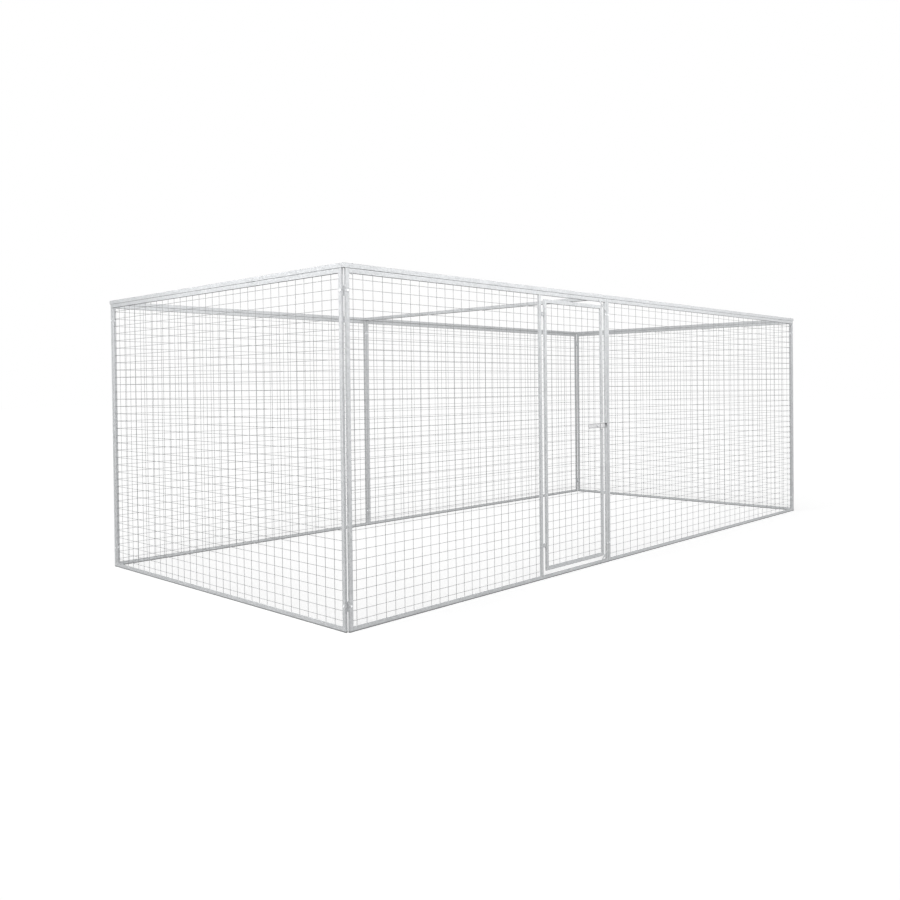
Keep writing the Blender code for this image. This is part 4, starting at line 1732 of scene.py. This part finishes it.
def aimed_light(name: str, kind: str, energy: float, way: Vector) -> bpy.types.Object:
    """Puts a light in the scene.

    Args:
        name: Its name.
        kind: Its type.
        energy: Its power or strength.
        way: Which way it shines.

    Returns:
        The light, at the origin.
    """
    data = bpy.data.lights.new(name, kind)
    data.energy = energy
    lamp = placed(name, data)
    lamp.rotation_euler = way.to_track_quat("-Z", "Y").to_euler()
    return lamp


@dataclass(frozen=True)
class Lamp:
    """A soft rectangular lamp."""

    name: str
    place: Point
    aim: Point
    size: tuple[float, float]
    watts: float

    def build(self, spared: bpy.types.Collection) -> None:
        """Puts the lamp in the scene.

        Args:
            spared: What it doesn't light.
        """
        lamp = aimed_light(self.name, "AREA", self.watts, Vector(self.aim) - Vector(self.place))
        lamp.location = self.place
        lamp.data.shape = "RECTANGLE"
        lamp.data.size, lamp.data.size_y = self.size
        lamp.light_linking.receiver_collection = spared


@dataclass(frozen=True)
class Studio:
    """A plain white studio and the camera at the photograph's viewing angle."""

    camera_place: Point = (-5.489, -4.559, 1.206)
    yaw: float = math.radians(46.648)
    pitch: float = math.radians(-0.824)
    roll: float = math.radians(-0.617)
    lens: float = 34.776
    shift: tuple[float, float] = (-0.0022, -0.0556)
    ambient: float = 0.30
    floor_glow: float = 0.47
    floor_reach: float = 60.0
    floor_level: float = -0.0003
    lamps: tuple[Lamp, ...] = (
        Lamp("front_strip", (0.3, -2.7, 3.0), (0.3, -1.6, 0.0), (6.5, 1.2), 110.0),
        Lamp("left_strip", (-4.3, -0.2, 3.0), (-3.1, 0.0, 0.0), (1.2, 3.6), 90.0),
        Lamp("corner_panel", (-4.7, -3.6, 2.1), (-2.7, -1.2, 1.0), (1.0, 1.6), 34.0),
    )
    sun_strength: float = 1.35
    sun_softness: float = math.radians(50)
    sun_aim: Point = (0.55, 0.25, -1.0)

    def camera(self) -> None:
        """Makes the camera."""
        data = bpy.data.cameras.new("photo_view")
        data.lens = self.lens
        data.sensor_width = 36.0
        data.shift_x, data.shift_y = self.shift
        data.clip_end = 200.0
        obj = placed("photo_view", data)
        obj.matrix_world = (
            Matrix.Translation(self.camera_place) @ Matrix.Rotation(-self.yaw, 4, "Z")
            @ Matrix.Rotation(math.pi / 2 + self.pitch, 4, "X") @ Matrix.Rotation(self.roll, 4, "Z"))
        bpy.context.scene.camera = obj

    @staticmethod
    def seen(graph: Graph) -> Value:
        """Tells what looks at a surface.

        Args:
            graph: The tree to add to.

        Returns:
            1 where the camera, a reflection or a see-through ray looks, and 0 elsewhere.
        """
        path = graph.node("ShaderNodeLightPath")
        seen = graph.math("MAXIMUM", graph.out(path, "Is Camera Ray"), graph.out(path, "Is Glossy Ray"))
        return graph.math("MAXIMUM", seen, graph.out(path, "Is Transmission Ray"))

    def world(self) -> None:
        """Makes the surroundings white to the eye, and plain to the light."""
        world = bpy.data.worlds.new("white_studio")
        world.use_nodes = True
        graph = Graph(world.node_tree)
        strength = self.ambient + (1.0 - self.ambient) * self.seen(graph)
        sky = graph.value("ShaderNodeBackground", None, {"Color": (1.0, 1.0, 1.0), "Strength": strength})
        graph.node("ShaderNodeOutputWorld", None, {"Surface": sky})
        bpy.context.scene.world = world

    def floor(self) -> bpy.types.Object:
        """Lays a large pale floor that keeps the enclosure's shadow.

        Returns:
            The floor.
        """
        graph = ShaderGraph("pale_floor")
        cloudy = graph.tint(graph.noise(0.8, 2.0), (0.80, 0.80, 0.80), (0.83, 0.83, 0.83))
        matt = graph.value("ShaderNodeBsdfDiffuse", None, {"Color": cloudy})
        glow = graph.value("ShaderNodeEmission", None, {"Strength": self.floor_glow * self.seen(graph)})
        both = graph.value("ShaderNodeAddShader", None, {0: matt, 1: glow})
        graph.node("ShaderNodeOutputMaterial", None, {"Surface": both})
        reach, level = self.floor_reach, self.floor_level
        mesh = bpy.data.meshes.new("floor")
        mesh.from_pydata([(x * reach, y * reach, level) for x, y in ((-1, -1), (1, -1), (1, 1), (-1, 1))],
                         [], [(0, 1, 2, 3)])
        mesh.materials.append(graph.material)
        obj = placed("floor", mesh)
        return obj

    def build(self) -> None:
        """Makes the studio, with a broad light that reaches the whole floor alike."""
        bpy.context.scene.view_settings.view_transform = "Standard"
        self.camera()
        self.world()
        sun = aimed_light("broad_light", "SUN", self.sun_strength, Vector(self.sun_aim))
        sun.data.angle = self.sun_softness
        spared = bpy.data.collections.new("floor_spared_by_strips")
        spared.objects.link(self.floor())
        spared.collection_objects[0].light_linking.link_state = "EXCLUDE"
        for lamp in self.lamps:
            lamp.build(spared)


def main() -> None:
    """Builds the studio and the enclosure, and logs each piece's face count."""
    logging.basicConfig(level=logging.INFO, format="%(name)s: %(message)s")
    Studio().build()
    Enclosure(Finishes.make()).build()


if __name__ == "__main__":
    main()
